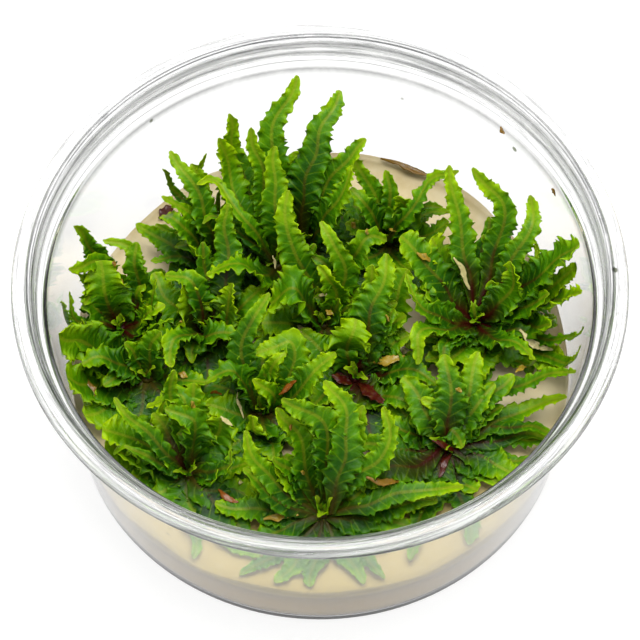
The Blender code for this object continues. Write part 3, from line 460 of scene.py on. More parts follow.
# Dead scraps, roots and flecks that lie on the leaves and the gel: kind, width and both ends
SCRAPS = (
    ("gold", 1.8, (9, -2.5, 17), (14.5, -2, 18.5)),
    ("red", 2.2, (6.5, -5.5, 15.5), (10.5, -11, 18.5)),
    ("orange", 0.9, (7.5, -7, 16.5), (10.5, -9.5, 18.5)),
    ("orange", 1.1, (-6.5, -9.5, 19), (-4, -8.5, 22)),
    ("gold", 1.2, (-24, -4, 16), (-22.5, -4.5, 16.5)),
    ("orange", 0.8, (-18.5, -7, 15), (-17, -9, 18.5)),
    ("cream", 0.8, (-16.5, -16, 23), (-14.5, -17.5, 23)),
    ("cream", 0.5, (-14, -8, 17), (-13, -12.5, 16)),
    ("cream", 0.5, (-8.5, 18.5, 17.5), (-8, 16.5, 17)),
    ("cream", 1, (-3.5, 5, 16.5), (-3, 2.5, 19)),
    ("gold", 1, (1, 7.5, 17.5), (2.5, 7, 17.5)),
    ("cream", 0.9, (0, 9, 20), (1, 8.5, 21)),
    ("gold", 1, (7.5, 15.5, 30.5), (8.5, 15, 30)),
    ("gold", 0.9, (5.5, 24.5, 19), (6.5, 24, 18.5)),
    ("gold", 1, (12.5, 21.5, 21), (13, 20.5, 22.5)),
    ("gold", 1.2, (16.5, 14, 26), (19, 13, 24.5)),
    ("gold", 1, (11, 2, 25.5), (11.5, 2.5, 23.5)),
    ("cream", 1, (14, 1.5, 14.5), (15, 1, 14)),
    ("gold", 0.7, (22.5, -11, 23.5), (23.5, -11.5, 23.5)),
    ("gold", 1, (-24, 3.5, 20.5), (-23.5, 4, 19)),
    ("tan", 1.1, (-35.5, 10.5, 27), (-34.5, 10, 27)),
    ("gold", 1, (-34, 9.5, 24.5), (-33.5, 9.5, 23.5)),
    ("gold", 1, (-21.5, -13.5, 24), (-20.5, -14, 23)),
    ("tan", 1.1, (-5, -20.5, 28.5), (-4.5, -20.5, 27.5)),
    ("gold", 0.7, (-3.5, -25, 21), (-2.5, -25, 20)),
    ("tan", 1.4, (7.5, -26.5, 22), (13.5, -26.5, 20)),
    ("orange", 1.1, (-17, -25.5, 15.5), (-13.5, -28, 16)),
    ("cream", 1.2, (-14, -24.5, 15), (-12.5, -23, 14)),
    ("gold", 1.0, (33, -7, 22), (35.5, -5, 19)),
    ("cream", 1.3, (34, 2.5, 20), (39.5, -1, 18.5)),
    ("cream", 1.0, (22.5, 13.5, 25.5), (26, 10, 20.5)),
    ("gold", 1.4, (-9.5, -31, 15.5), (-3.5, -30.5, 16)),
    ("red", 1.4, (18.5, -18, 18), (22.5, -18, 15.5)),
    ("red", 1.2, (22, -18.5, 14.5), (19.5, -23, 15.5)),
    ("red", 2, (1.5, -4.5, 16.5), (5.5, -5, 15)),
    ("tan", 2, (-41.5, -5.5, 17), (-37.5, -11.5, 16)),
    ("red", 2.4, (-28.5, 29, 14), (-26, 31.5, 13.5)),
    ("tan", 1.8, (11, 41, 15), (20, 37, 14.5)),
    ("tan", 1, (38.5, 20.5, 36.5), (39, 19.5, 35.5)),
    ("tan", 0.9, (30, 31.5, 38), (31, 31, 37.5)),
)


def linear(code):
    """A hex colour of a screen as the linear red, green and blue that a shader takes."""
    values = [int(code[start:start + 2], 16) / 255 for start in (1, 3, 5)]
    return tuple(v / 12.92 if v <= 0.04045 else ((v + 0.055) / 1.055) ** 2.4 for v in values)


def colour_property(name, description, code):
    """A colour that a user may change."""
    return FloatVectorProperty(
        name=name,
        description=description,
        subtype="COLOR",
        size=3,
        min=0.0,
        max=1.0,
        default=linear(code),
    )


def length_property(name, description, value):
    """A length that a user may change."""
    return FloatProperty(
        name=name,
        description=description,
        unit="LENGTH",
        precision=5,
        min=0.0,
        default=value,
    )


class LeafSettings(bpy.types.PropertyGroup):
    """Ruffles and colours of the leaves."""

    thickness: length_property("Thickness", "Thickness of a blade at its midrib", 0.3 * MM)
    ruffle: length_property("Ruffle", "Length of one wave of the margin", 2.8 * MM)
    tooth: length_property("Tooth", "Length of one tooth of the margin", 1.2 * MM)
    tooth_depth: length_property("Tooth depth", "How far a tooth stands out", 0.78 * MM)
    vein: length_property("Vein spacing", "Distance between two side veins", 1.9 * MM)
    steps: IntProperty(
        name="Steps", description="Rows of faces along a large blade", default=88, min=12, max=160
    )
    crown_red: colour_property("Red foot", "Colour of a red plantlet's crown", "#3C0B07")
    crown_olive: colour_property("Olive foot", "Colour of a green plantlet's crown", "#443C08")
    # The ramp from shade green to bright green is partly painted shade, darkest at a blade's foot
    shade: colour_property("Shade green", "Colour of the oldest part of a blade", "#113204")
    deep: colour_property("Deep green", "Colour of the lower blade", "#255802")
    green: colour_property("Green", "Colour of the blade's middle", "#508800")
    bright: colour_property("Bright green", "Colour of the blade's end", "#90B800")
    margin: colour_property("Margin", "Colour of the blade's edge and young leaves", "#C0DC00")
    rib: colour_property("Midrib", "Colour of the midrib towards the tip", "#8FA41A")
    glow: colour_property("Glow", "Colour of the light that comes through a blade", "#AED400")


class ScrapSettings(bpy.types.PropertyGroup):
    """Colours of the dead scraps."""

    red: colour_property("Red", "Colour of a dead crown leaf", "#4A1006")
    tan: colour_property("Tan", "Colour of a withered leaf", "#8C6A1C")
    orange: colour_property("Orange", "Colour of a rotting leaf", "#8A4A0A")
    gold: colour_property("Gold", "Colour of a yellowed fleck", "#A88E24")
    blot: colour_property("Blot", "Colour of the rotten spots", "#3A2408")
    cream: colour_property("Cream", "Colour of a bleached leaf or a root", "#D4C88C")


class GelSettings(bpy.types.PropertyGroup):
    """Surface and colours of the gel."""

    ripple: length_property("Ripple", "Height of the unevenness of the gel's top", 0.25 * MM)
    body: colour_property("Body", "Colour of the gel", "#D6C8A2")
    cloudy: colour_property("Cloudy", "Colour of the gel's cloudier patches", "#C6B182")
    # Painted shadow: the darker, browner colour of the gel's front part, which the cup's wall and lip
    # shade
    old: colour_property("Old", "Colour of the gel's older part", "#B09C5C")
    depth: colour_property("Depth", "Colour that a thick layer of gel takes", "#B0945C")


class CupSettings(bpy.types.PropertyGroup):
    """Fineness and tint of the cup."""

    steps: IntProperty(
        name="Steps", description="Faces around the cup", default=180, min=36, max=360
    )
    # Painted shade: colour of the dark rings drawn where the plastic's edges show dark
    edge_line_shade: colour_property("Scuff", "Colour of the worn edges of the plastic", "#1C1D20")
    streak: colour_property("Streak", "Colour of the mould lines", "#5A5E60")
    dirt: colour_property("Dirt", "Colour of the specks on the plastic", "#4E5440")
    tint: colour_property("Tint", "Colour that a thick layer of the plastic takes", "#C4C6C8")


class StageSettings(bpy.types.PropertyGroup):
    """Floor and light."""

    floor: colour_property("Floor", "Colour of the floor", "#7E7E7C")
    key: FloatProperty(
        name="Key light", description="Power of the light overhead", unit="POWER", default=8.5
    )


def at(place):
    """A place in millimetres, in metres."""
    return Vector(place) * MM


def wall_radius(height):
    """Radius of the cup's inner wall at a height above the base."""
    share = np.clip(np.asarray(height) / SEAT, 0.0, 1.0)
    return INNER_FOOT + (SEAT_RADIUS - WALL - INNER_FOOT) * share


def even_points(points, count):
    """Evenly spaced points along a smooth curve through the given points."""
    ends = [2 * points[0] - points[1], *points, 2 * points[-1] - points[-2]]
    dense = [points[0].copy()]
    for before, start, end, after in zip(ends, ends[1:], ends[2:], ends[3:]):
        for step in range(1, CURVE_STEPS + 1):
            t = step / CURVE_STEPS
            pull = (end - before) * t + (2 * before - 5 * start + 4 * end - after) * t * t
            bend = (3 * start - before - 3 * end + after) * t ** 3
            dense.append(start + 0.5 * (pull + bend))
    dense = np.array(dense)
    lengths = np.concatenate([[0.0], np.cumsum(np.linalg.norm(np.diff(dense, axis=0), axis=1))])
    wanted = np.linspace(0.0, lengths[-1], count + 1)
    spaced = [np.interp(wanted, lengths, dense[:, axis]) for axis in range(3)]
    return np.stack(spaced, axis=1), lengths[-1]


def blade_frames(points, shares, twist):
    """Centres, sides and faces of a blade at shares of its length, and its length.

    The blade turns about its own midrib by the twist, most of it towards the tip.
    """
    spine, length = even_points(points, SPINE_STEPS)
    heading = spine[-1] - spine[0]
    side = Vector((-heading[1], heading[0], 0)).normalized()
    sides = []
    faces = []
    for index in range(SPINE_STEPS + 1):
        step = spine[min(index + 1, SPINE_STEPS)] - spine[max(index - 1, 0)]
        along = Vector(step).normalized()
        side = (side - along * side.dot(along)).normalized()
        sides.append(side)
        faces.append(along.cross(side))
    knots = np.linspace(0.0, 1.0, SPINE_STEPS + 1)
    centre, side, face = [
        np.stack([np.interp(shares, knots, np.array(rows)[:, axis]) for axis in range(3)], axis=1)
        for rows in (spine, sides, faces)
    ]
    angle = (twist * shares ** 1.6)[:, None]
    turned_side = side * np.cos(angle) + face * np.sin(angle)
    turned_face = face * np.cos(angle) - side * np.sin(angle)
    return centre, turned_side, turned_face, length


def blade_width(share, width):
    """Width of a blade at a share of its length: a narrow root, a broad middle and a slim tip."""
    rise = np.clip(share / MIDDLE, 0.0, 1.0)
    swell = ROOT_SHARE + (1 - ROOT_SHARE) * rise * rise * (3 - 2 * rise)
    tip = BROAD_TIP_SHARE if width > BROAD_WIDTH else TIP_SHARE
    fade = 1 - (1 - tip) * np.clip(share - MIDDLE, 0.0, 1.0) / (1 - MIDDLE)
    past = np.clip(share - ROUND_START, 0.0, 1.0) / (1 - ROUND_START)
    return width * swell * fade * np.sqrt(np.clip(1 - past * past, 0.0, 1.0))


def smooth_step(value, low, high):
    """0 below low, 1 above high, and a smooth rise between."""
    share = np.clip((value - low) / (high - low), 0.0, 1.0)
    return share * share * (3 - 2 * share)


def wavy(reach, length, chance, wander=0.3):
    """Phase of a wave of about the given length, which wanders along the blade."""
    slow = TURN * reach / (length * 3.7) + chance.uniform(0, TURN)
    return TURN * (reach / length + chance.random()) + wander * TURN * np.sin(slow) * 0.5


def leaf_shell(points, width, chance, settings, grid, red=0.0, dying=0.0, age=0.0, calm=1.0):
    """One blade as a thin closed shell: its places, its faces and what its shader reads.

    The grid is its rows and columns of faces. A calm below 1 flattens the ruffles. Age darkens a
    blade, and a negative age makes it young and bright. A dying blade is red or olive all along its
    middle.
    """
    steps, across = grid
    shares = 0.997 * (1 - (1 - np.linspace(0.0, 1.0, steps + 1)) ** 1.25)
    centre, side, face, length = blade_frames(points, shares, chance.uniform(-TWIST, TWIST))
    reach = shares * length
    grown = smooth_step(shares, 0.10, 0.36)
    sway = np.sin(wavy(reach, SWAY_LENGTH, chance)) * SWAY * grown
    centre = centre + side * sway[:, None]
    sweep = np.linspace(-1.0, 1.0, across + 1)
    sweep = np.sign(sweep) * np.abs(sweep) ** 0.85
    half = blade_width(shares, width) / 2
    rise = max(points[-1].z - points[0].z, 0.0) / length
    calm = calm * (0.45 + 0.55 * float(smooth_step(rise, 0.1, 0.6)))
    spread, offset, crest = blade_relief(half, reach, grown, sweep, calm, chance, settings)
    rib_height = RIB_FOOT - RIB_FALL * smooth_step(shares, 0.25, 0.7)
    offset += rib_height[:, None] * np.exp(-(spread / RIB_WIDTH) ** 2)
    thick = settings.thickness * (1 - 0.35 * shares)[:, None] * (1 - 0.5 * np.abs(sweep)[None, :])
    middle = centre[:, None] + side[:, None] * spread[..., None] + face[:, None] * offset[..., None]
    upper = kept_inside(middle + face[:, None] * thick[..., None] / 2)
    lower = kept_inside(middle - face[:, None] * thick[..., None] / 2)
    places = np.concatenate([upper.reshape(-1, 3), lower.reshape(-1, 3)])

    # Ripeness from dark green to pale green, partly painted shade: darker towards the foot, deep in
    # the rosette, paler at the margin, and paler where the ruffles rise, which is painted light on
    # their crests; and the coloured foot of the midrib
    shares = shares[:, None]
    edge = np.abs(sweep)[None, :]
    tone_and_painted_light = 0.02 + 0.62 * shares ** 1.15 + 0.22 * edge ** 2 + 0.08 * crest * edge
    tone_and_painted_light = tone_and_painted_light + chance.uniform(-0.08, 0.10) - age
    foot = 1 - smooth_step(shares, 0.04 + 0.04 * red, 0.36 + 0.12 * red)
    foot = foot * (1 - 0.75 * edge)
    foot = np.maximum(foot, dying * 0.85 * (1 - 0.7 * edge ** 2) * (1 - shares ** 2))
    shader_reads = np.zeros((2, 2, steps + 1, across + 1, 3))
    shader_reads[0, ..., 0] = tone_and_painted_light
    shader_reads[0, ..., 1] = (reach[:, None] - VEIN_SLANT * np.abs(spread)) / MM
    shader_reads[0, ..., 2] = foot
    shader_reads[1, ..., 0] = reach[:, None] / MM + chance.uniform(0, 90)
    shader_reads[1, ..., 1] = spread / MM
    shader_reads[1, ..., 2] = max(red, chance.uniform(0.0, 0.35))
    told, run = shader_reads.reshape(2, -1, 3)
    return places, shell_faces(steps, across).tolist(), told, run


def blade_relief(half, reach, grown, sweep, calm, chance, settings):
    """How far each place of a blade is from its midrib, sideways and upwards, and its ruffle's crest.

    The margin swings up and down in ruffles and carries teeth that point to the tip. The blade folds
    up along its midrib and bulges between its side veins.
    """
    offset = np.zeros((len(half), len(sweep)))
    spread = np.zeros((len(half), len(sweep)))
    crest = np.zeros((len(half), len(sweep)))
    deepest = chance.uniform(*RUFFLE_DEPTH) * calm
    fold = chance.uniform(0.0, FOLD)
    depth = np.minimum(settings.tooth_depth, 0.34 * half) * chance.uniform(0.7, 1.25)
    for sign in (-1, 1):
        on_side = sweep * sign >= 0 if sign > 0 else sweep * sign > 0
        share_out = np.abs(sweep[on_side])
        swell = wavy(reach, settings.ruffle * chance.uniform(0.8, 1.3), chance, 0.7)
        small = np.sin(wavy(reach, settings.ruffle * 0.43, chance))
        saw = wavy(reach, settings.tooth, chance, 0.7) / TURN % 1.0
        tooth = saw ** 0.8 * (1 - smooth_step(saw, 0.72, 1.0)) * 1.5
        strength = 0.6 + 0.4 * np.sin(wavy(reach, settings.ruffle * 1.7, chance))
        nibble = 0.75 + 0.45 * np.sin(wavy(reach, settings.tooth * 2.3, chance, 0.8))
        swing = deepest * strength * 1.3 * np.sin(swell) + SMALL_RUFFLE_DEPTH * small
        lift = (half * grown * swing)[:, None] * share_out[None, :] ** RUFFLE_REACH
        channel = (fold * half)[:, None] * share_out[None, :] ** 1.5
        slanted = reach[:, None] - VEIN_SLANT * half[:, None] * share_out
        between = np.cos(TURN * slanted / settings.vein)
        bulge = BULGE * grown[:, None] * between * share_out * (1 - share_out ** 3)
        offset[:, on_side] = lift + channel + bulge
        out = half * (1 + 0.08 * grown * np.sin(swell + 1.2)) + grown * depth * (tooth - 0.3) * nibble
        spread[:, on_side] = out[:, None] * share_out * sign
        crest[:, on_side] = (np.sin(swell) * strength)[:, None] * share_out
    return spread, offset, crest


def stem_shell(stub, red):
    """A plantlet's stem as a closed knobbly tube that stands in the gel."""
    sides = STUB_SIDES
    heights = np.linspace(-2.2, STUB_HEIGHT / MM - 0.6, STUB_RINGS)
    places = []
    for index, height in enumerate(heights):
        knob = 1 + 0.12 * math.cos(index * math.pi)
        share = max(height, 0.0) * MM / STUB_HEIGHT
        radius = STUB_FOOT_RADIUS + (STUB_TOP_RADIUS - STUB_FOOT_RADIUS) * share
        radius *= STUB_SLIMNESS * knob
        for side in range(sides):
            angle = TURN * side / sides
            places.append((
                stub[0] * MM + radius * math.cos(angle),
                stub[1] * MM + radius * math.sin(angle),
                GEL_TOP + height * MM,
            ))
    faces = [list(range(sides))[::-1]]
    for row in range(len(heights) - 1):
        for side in range(sides):
            after = (side + 1) % sides
            faces.append([row * sides + side, row * sides + after,
                          (row + 1) * sides + after, (row + 1) * sides + side])
    faces.append([(len(heights) - 1) * sides + side for side in range(sides)])
    told = np.tile([0.15, 0.0, 1.0], (len(places), 1))
    run = np.array([(place[2] / MM, place[0] / MM, red) for place in places])
    return np.array(places), faces, told, run


def kept_inside(places):
    """Places moved inside the cup's wall and to the gel's top or above it."""
    height = np.maximum(places[..., 2], GEL_TOP + 0.1 * MM)
    radius = np.hypot(places[..., 0], places[..., 1])
    limit = wall_radius(height) - WALL_CLEARANCE
    shrink = np.where(radius > limit, limit / np.maximum(radius, MM), 1.0)
    return np.stack([places[..., 0] * shrink, places[..., 1] * shrink, height], axis=-1)


def shell_faces(steps, across):
    """Quads of a thin closed shell made of two grids and a strip around their edge."""
    wide = across + 1
    lower = (steps + 1) * wide
    row, column = np.meshgrid(np.arange(steps), np.arange(across), indexing="ij")
    first = (row * wide + column).ravel()
    top = np.stack([first, first + wide, first + wide + 1, first + 1], axis=1)
    bottom = lower + np.stack([first, first + 1, first + wide + 1, first + wide], axis=1)
    rim = [index * wide for index in range(steps + 1)]
    rim += [steps * wide + index for index in range(1, across + 1)]
    rim += [index * wide + across for index in range(steps - 1, -1, -1)]
    rim += [index for index in range(across - 1, -1, -1)]
    rim = np.array(rim)
    edge = np.stack([rim[:-1], rim[:-1] + lower, rim[1:] + lower, rim[1:]], axis=1)
    return np.concatenate([top, bottom, edge])


def leaf_points(stub, root, points):
    """The points a leaf passes through, from its root by the stub to its tip."""
    if root:
        bearing = math.radians(root[0])
        reach = ROOT_REACH
        height = root[1] * MM * ROOT_RISE
    else:
        heading = at(points[0]) - Vector((stub[0] * MM, stub[1] * MM, 0))
        bearing = math.atan2(heading.y, heading.x)
        reach = INNER_ROOT_REACH
        height = INNER_ROOT_HEIGHT
    start = Vector((
        stub[0] * MM + reach * math.cos(bearing),
        stub[1] * MM + reach * math.sin(bearing),
        GEL_TOP + height,
    ))
    return [start] + [at(point) for point in points]


def companion_points(stub, points, chance):
    """A shorter, lower leaf beside one of the table's, which ends short of that leaf's tip."""
    turn = math.radians(chance.choice((-1, 1)) * chance.uniform(*BESIDE_TURN))
    size = chance.uniform(*BESIDE_SIZE)
    foot = Vector((stub[0] * MM, stub[1] * MM, GEL_TOP))
    moved = []
    for place in points:
        step = place - foot
        east = step.x * math.cos(turn) - step.y * math.sin(turn)
        north = step.x * math.sin(turn) + step.y * math.cos(turn)
        moved.append(foot + Vector((east * size, north * size, step.z * size * BESIDE_HEIGHT)))
    return moved


def crown_points(stub, bearing, length, rise):
    """A young leaf that stands up in the middle of a plantlet."""
    turn = math.radians(bearing)
    heading = Vector((math.cos(turn), math.sin(turn), 0))
    foot = Vector((stub[0] * MM, stub[1] * MM, GEL_TOP + STUB_HEIGHT * 0.6))
    lean = heading * math.cos(math.radians(rise)) * length
    up = Vector((0, 0, math.sin(math.radians(rise)) * length))
    return [foot, foot + lean * 0.25 + up * 0.45, foot + lean * 0.6 + up * 0.85, foot + lean + up]


def skirt_points(stub, bearing, length):
    """An old leaf that lies low over the gel around a plantlet's foot."""
    turn = math.radians(bearing)
    heading = Vector((math.cos(turn), math.sin(turn), 0))
    foot = Vector((stub[0] * MM, stub[1] * MM, GEL_TOP))
    return [
        foot + heading * length * share + Vector((0, 0, height * MM))
        for share, height in SKIRT_HEIGHTS
    ]


def piece_from(name, shells, material):
    """One object from the shells of its blades."""
    places = []
    faces = []
    told = []
    run = []
    count = 0
    for shell_places, shell_quads, shell_told, shell_run in shells:
        places.append(shell_places)
        faces += [[corner + count for corner in quad] for quad in shell_quads]
        told.append(shell_told)
        run.append(shell_run)
        count += len(shell_places)
    mesh = bpy.data.meshes.new(name)
    mesh.from_pydata(np.concatenate(places).tolist(), [], faces)
    for label, values in (("leaf", told), ("run", run)):
        layer = mesh.attributes.new(label, "FLOAT_VECTOR", "POINT")
        layer.data.foreach_set("vector", np.concatenate(values).ravel())
    mesh.polygons.foreach_set("use_smooth", [True] * len(mesh.polygons))
    mesh.materials.append(material)
    piece = bpy.data.objects.new(name, mesh)
    bpy.context.scene.collection.objects.link(piece)
    return piece


def rounded(profile, radius, steps=4):
    """A profile with its inner corners turned to short curves."""
    points = [Vector(point) for point in profile]
    made = [points[0]]
    for before, corner, after in zip(points, points[1:], points[2:]):
        back = min(radius, (before - corner).length * 0.45)
        ahead = min(radius, (after - corner).length * 0.45)
        start = corner + (before - corner).normalized() * back
        end = corner + (after - corner).normalized() * ahead
        for step in range(steps + 1):
            t = step / steps
            made.append(start * (1 - t) ** 2 + corner * 2 * t * (1 - t) + end * t * t)
    made.append(points[-1])
    return held(made)


def held(points, hold=0.35 * MM):
    """A profile with points added close to the ends of its long spans, so they shade as flat."""
    made = [points[0]]
    for start, end in zip(points, points[1:]):
        step = end - start
        if step.length > 3 * hold:
            reach = step.normalized() * hold
            made += [start + reach, (start + end) / 2, end - reach]
        made.append(end)
    return made


def turned(name, profile, steps, material, shape=None):
    """A closed piece turned about Z from a profile of (radius, height)."""
    mesh = bmesh.new()
    rings = []
    for radius, height in profile:
        count = steps if radius > 1e-6 else 1
        ring = []
        for index in range(count):
            angle = TURN * index / count
            place = Vector((radius * math.cos(angle), radius * math.sin(angle), height))
            ring.append(mesh.verts.new(shape(place) if shape else place))
        rings.append(ring)
    for first, second in zip(rings, rings[1:]):
        for index in range(steps):
            after = (index + 1) % steps
            corners = [first[index % len(first)], first[after % len(first)]]
            corners += [second[after % len(second)], second[index % len(second)]]
            unique = list(dict.fromkeys(corners))
            if len(unique) > 2:
                mesh.faces.new(unique)
    bmesh.ops.recalc_face_normals(mesh, faces=mesh.faces[:])
    data = bpy.data.meshes.new(name)
    mesh.to_mesh(data)
    mesh.free()
    data.polygons.foreach_set("use_smooth", [True] * len(data.polygons))
    data.materials.append(material)
    piece = bpy.data.objects.new(name, data)
    bpy.context.scene.collection.objects.link(piece)
    return piece


def node(tree, kind, settings=None, inputs=None):
    """Add a node with its settings, and set or link its inputs."""
    made = tree.nodes.new(kind)
    for key, value in (settings or {}).items():
        setattr(made, key, value)
    for key, value in (inputs or {}).items():
        if isinstance(value, bpy.types.NodeSocket):
            tree.links.new(value, made.inputs[key])
        else:
            made.inputs[key].default_value = value
    return made


def new_material(name):
    """A material with its node tree and its Principled shader."""
    material = bpy.data.materials.new(name)
    material.use_nodes = True
    return material, material.node_tree, material.node_tree.nodes["Principled BSDF"]


def living_leaf(settings):
    """Living leaf of downoi, grown submersed: a thin satin skin that light comes through, red-brown
    or olive at the foot and yellow-green at the margin, puckered between its veins."""
    material, tree, shader = new_material("living_leaf")
    told = node(tree, "ShaderNodeAttribute", {"attribute_name": "leaf"}).outputs["Vector"]
    tone_and_painted_light, slant, foot = node(tree, "ShaderNodeSeparateXYZ", inputs={0: told}).outputs
    run = node(tree, "ShaderNodeAttribute", {"attribute_name": "run"}).outputs["Vector"]
    away, red = node(tree, "ShaderNodeSeparateXYZ", inputs={0: run}).outputs[1:]

    # Patches of lighter and darker green, a few millimetres across
    patches = node(tree, "ShaderNodeTexNoise", inputs={
        "Vector": run, "Scale": 1 / PATCH, "Detail": 4.0, "Roughness": 0.6,
    }).outputs["Fac"]
    level = node(tree, "ShaderNodeMath", {"operation": "MULTIPLY_ADD"}, {
        0: patches, 1: 0.62, 2: tone_and_painted_light,
    }).outputs[0]
    level = node(tree, "ShaderNodeMath", {"operation": "SUBTRACT"}, {0: level, 1: 0.31}).outputs[0]
    # Ramp of the blade's colour: its dark end is partly painted shade towards the foot, and its level
    # is raised on the ruffles' crests as painted light
    ramp = node(tree, "ShaderNodeValToRGB", inputs={"Fac": level})
    stops = ramp.color_ramp.elements
    stops[0].position = 0.04
    stops[0].color = (*settings.shade, 1)
    stops[1].position = 0.98
    stops[1].color = (*settings.margin, 1)
    for position, colour in ((0.27, settings.deep), (0.50, settings.green), (0.74, settings.bright)):
        stops.new(position).color = (*colour, 1)

    # Side veins, paler than the blade
    wave = node(tree, "ShaderNodeMath", {"operation": "MULTIPLY"}, {
        0: slant, 1: TURN * MM / settings.vein,
    }).outputs[0]
    wave = node(tree, "ShaderNodeMath", {"operation": "SINE"}, {0: wave}).outputs[0]
    vein = node(tree, "ShaderNodeMapRange", inputs={
        "Value": wave, "From Min": 0.80, "From Max": 1.0, "To Max": 0.22,
    }).outputs["Result"]
    colour = node(tree, "ShaderNodeMix", {"data_type": "RGBA"}, {
        0: vein, 6: ramp.outputs["Color"], 7: (*settings.bright, 1),
    }).outputs[2]

    # Midrib, the colour of the crown at the foot and pale green towards the tip
    crown = node(tree, "ShaderNodeMapRange", inputs={
        "Value": red, "From Min": 0.3, "From Max": 0.7,
    }).outputs["Result"]
    crown = node(tree, "ShaderNodeMix", {"data_type": "RGBA"}, {
        0: crown, 6: (*settings.crown_olive, 1), 7: (*settings.crown_red, 1),
    }).outputs[2]
    ribbed = node(tree, "ShaderNodeMapRange", inputs={
        "Value": level, "From Min": 0.15, "From Max": 0.55,
    }).outputs["Result"]
    ribbed = node(tree, "ShaderNodeMix", {"data_type": "RGBA"}, {
        0: ribbed, 6: crown, 7: (*settings.rib, 1),
    }).outputs[2]
    away = node(tree, "ShaderNodeMath", {"operation": "ABSOLUTE"}, {0: away}).outputs[0]
    rib = node(tree, "ShaderNodeMapRange", {"interpolation_type": "SMOOTHSTEP"}, {
        "Value": away, "From Min": 0.42, "From Max": 0.12, "To Max": 0.7,
    }).outputs["Result"]
    colour = node(tree, "ShaderNodeMix", {"data_type": "RGBA"}, {
        0: rib, 6: colour, 7: ribbed,
    }).outputs[2]
    colour = node(tree, "ShaderNodeMix", {"data_type": "RGBA"}, {
        0: foot, 6: colour, 7: crown,
    }).outputs[2]

    # Puckers of the skin, half a millimetre across, and the sunk veins
    grain = node(tree, "ShaderNodeTexNoise", inputs={
        "Vector": run, "Scale": 1 / PUCKER, "Detail": 3.0,
    }).outputs["Fac"]
    height = node(tree, "ShaderNodeMath", {"operation": "SUBTRACT"}, {0: grain, 1: vein}).outputs[0]
    bump = node(tree, "ShaderNodeBump", inputs={
        "Strength": 0.7, "Distance": 0.16 * MM, "Height": height,
    }).outputs["Normal"]
    tree.links.new(colour, shader.inputs["Base Color"])
    tree.links.new(bump, shader.inputs["Normal"])
    shader.inputs["Roughness"].default_value = 0.42
    shader.inputs["IOR"].default_value = 1.40
    shader.inputs["Specular IOR Level"].default_value = 0.28
    glow = node(tree, "ShaderNodeMix", {"data_type": "RGBA"}, {
        0: 0.4, 6: colour, 7: (*settings.glow, 1),
    }).outputs[2]
    glow = node(tree, "ShaderNodeMix", {"data_type": "RGBA"}, {
        0: foot, 6: glow, 7: crown,
    }).outputs[2]
    through = node(tree, "ShaderNodeBsdfTranslucent", inputs={"Color": glow, "Normal": bump})
    share = node(tree, "ShaderNodeMixShader", inputs={
        0: 0.34, 1: shader.outputs[0], 2: through.outputs[0],
    })
    tree.links.new(share.outputs[0], tree.nodes["Material Output"].inputs["Surface"])
    return material


def dead_leaf(settings):
    """Dead downoi leaf, withered and wet: a soft limp skin, from red-brown to bleached cream, with
    darker blots and frayed dark ends."""
    material, tree, shader = new_material("dead_leaf")
    run = node(tree, "ShaderNodeAttribute", {"attribute_name": "run"}).outputs["Vector"]
    kind = node(tree, "ShaderNodeSeparateXYZ", inputs={0: run}).outputs[2]
    blots = node(tree, "ShaderNodeTexNoise", inputs={
        "Vector": run, "Scale": 1 / BLOT, "Detail": 4.0, "Roughness": 0.65,
    }).outputs["Fac"]
    kind = node(tree, "ShaderNodeMath", {"operation": "MULTIPLY_ADD"}, {
        0: blots, 1: 0.3, 2: kind,
    }).outputs[0]
    kind = node(tree, "ShaderNodeMath", {"operation": "SUBTRACT"}, {0: kind, 1: 0.15}).outputs[0]
    ramp = node(tree, "ShaderNodeValToRGB", inputs={"Fac": kind})
    stops = ramp.color_ramp.elements
    stops[0].position = KINDS["red"]
    stops[0].color = (*settings.red, 1)
    stops[1].position = KINDS["cream"]
    stops[1].color = (*settings.cream, 1)
    for name in ("tan", "orange", "gold"):
        stops.new(KINDS[name]).color = (*getattr(settings, name), 1)
    dark = node(tree, "ShaderNodeMapRange", {"interpolation_type": "SMOOTHSTEP"}, {
        "Value": blots, "From Min": 0.56, "From Max": 0.72, "To Max": 0.6,
    }).outputs["Result"]
    colour = node(tree, "ShaderNodeMix", {"data_type": "RGBA"}, {
        0: dark, 6: ramp.outputs["Color"], 7: (*settings.blot, 1),
    }).outputs[2]
    bump = node(tree, "ShaderNodeBump", inputs={
        "Strength": 0.6, "Distance": 0.12 * MM, "Height": blots,
    }).outputs["Normal"]
    tree.links.new(colour, shader.inputs["Base Color"])
    tree.links.new(bump, shader.inputs["Normal"])
    shader.inputs["Roughness"].default_value = 0.32
    through = node(tree, "ShaderNodeBsdfTranslucent", inputs={"Color": colour, "Normal": bump})
    share = node(tree, "ShaderNodeMixShader", inputs={
        0: 0.3, 1: shader.outputs[0], 2: through.outputs[0],
    })
    tree.links.new(share.outputs[0], tree.nodes["Material Output"].inputs["Surface"])
    return material


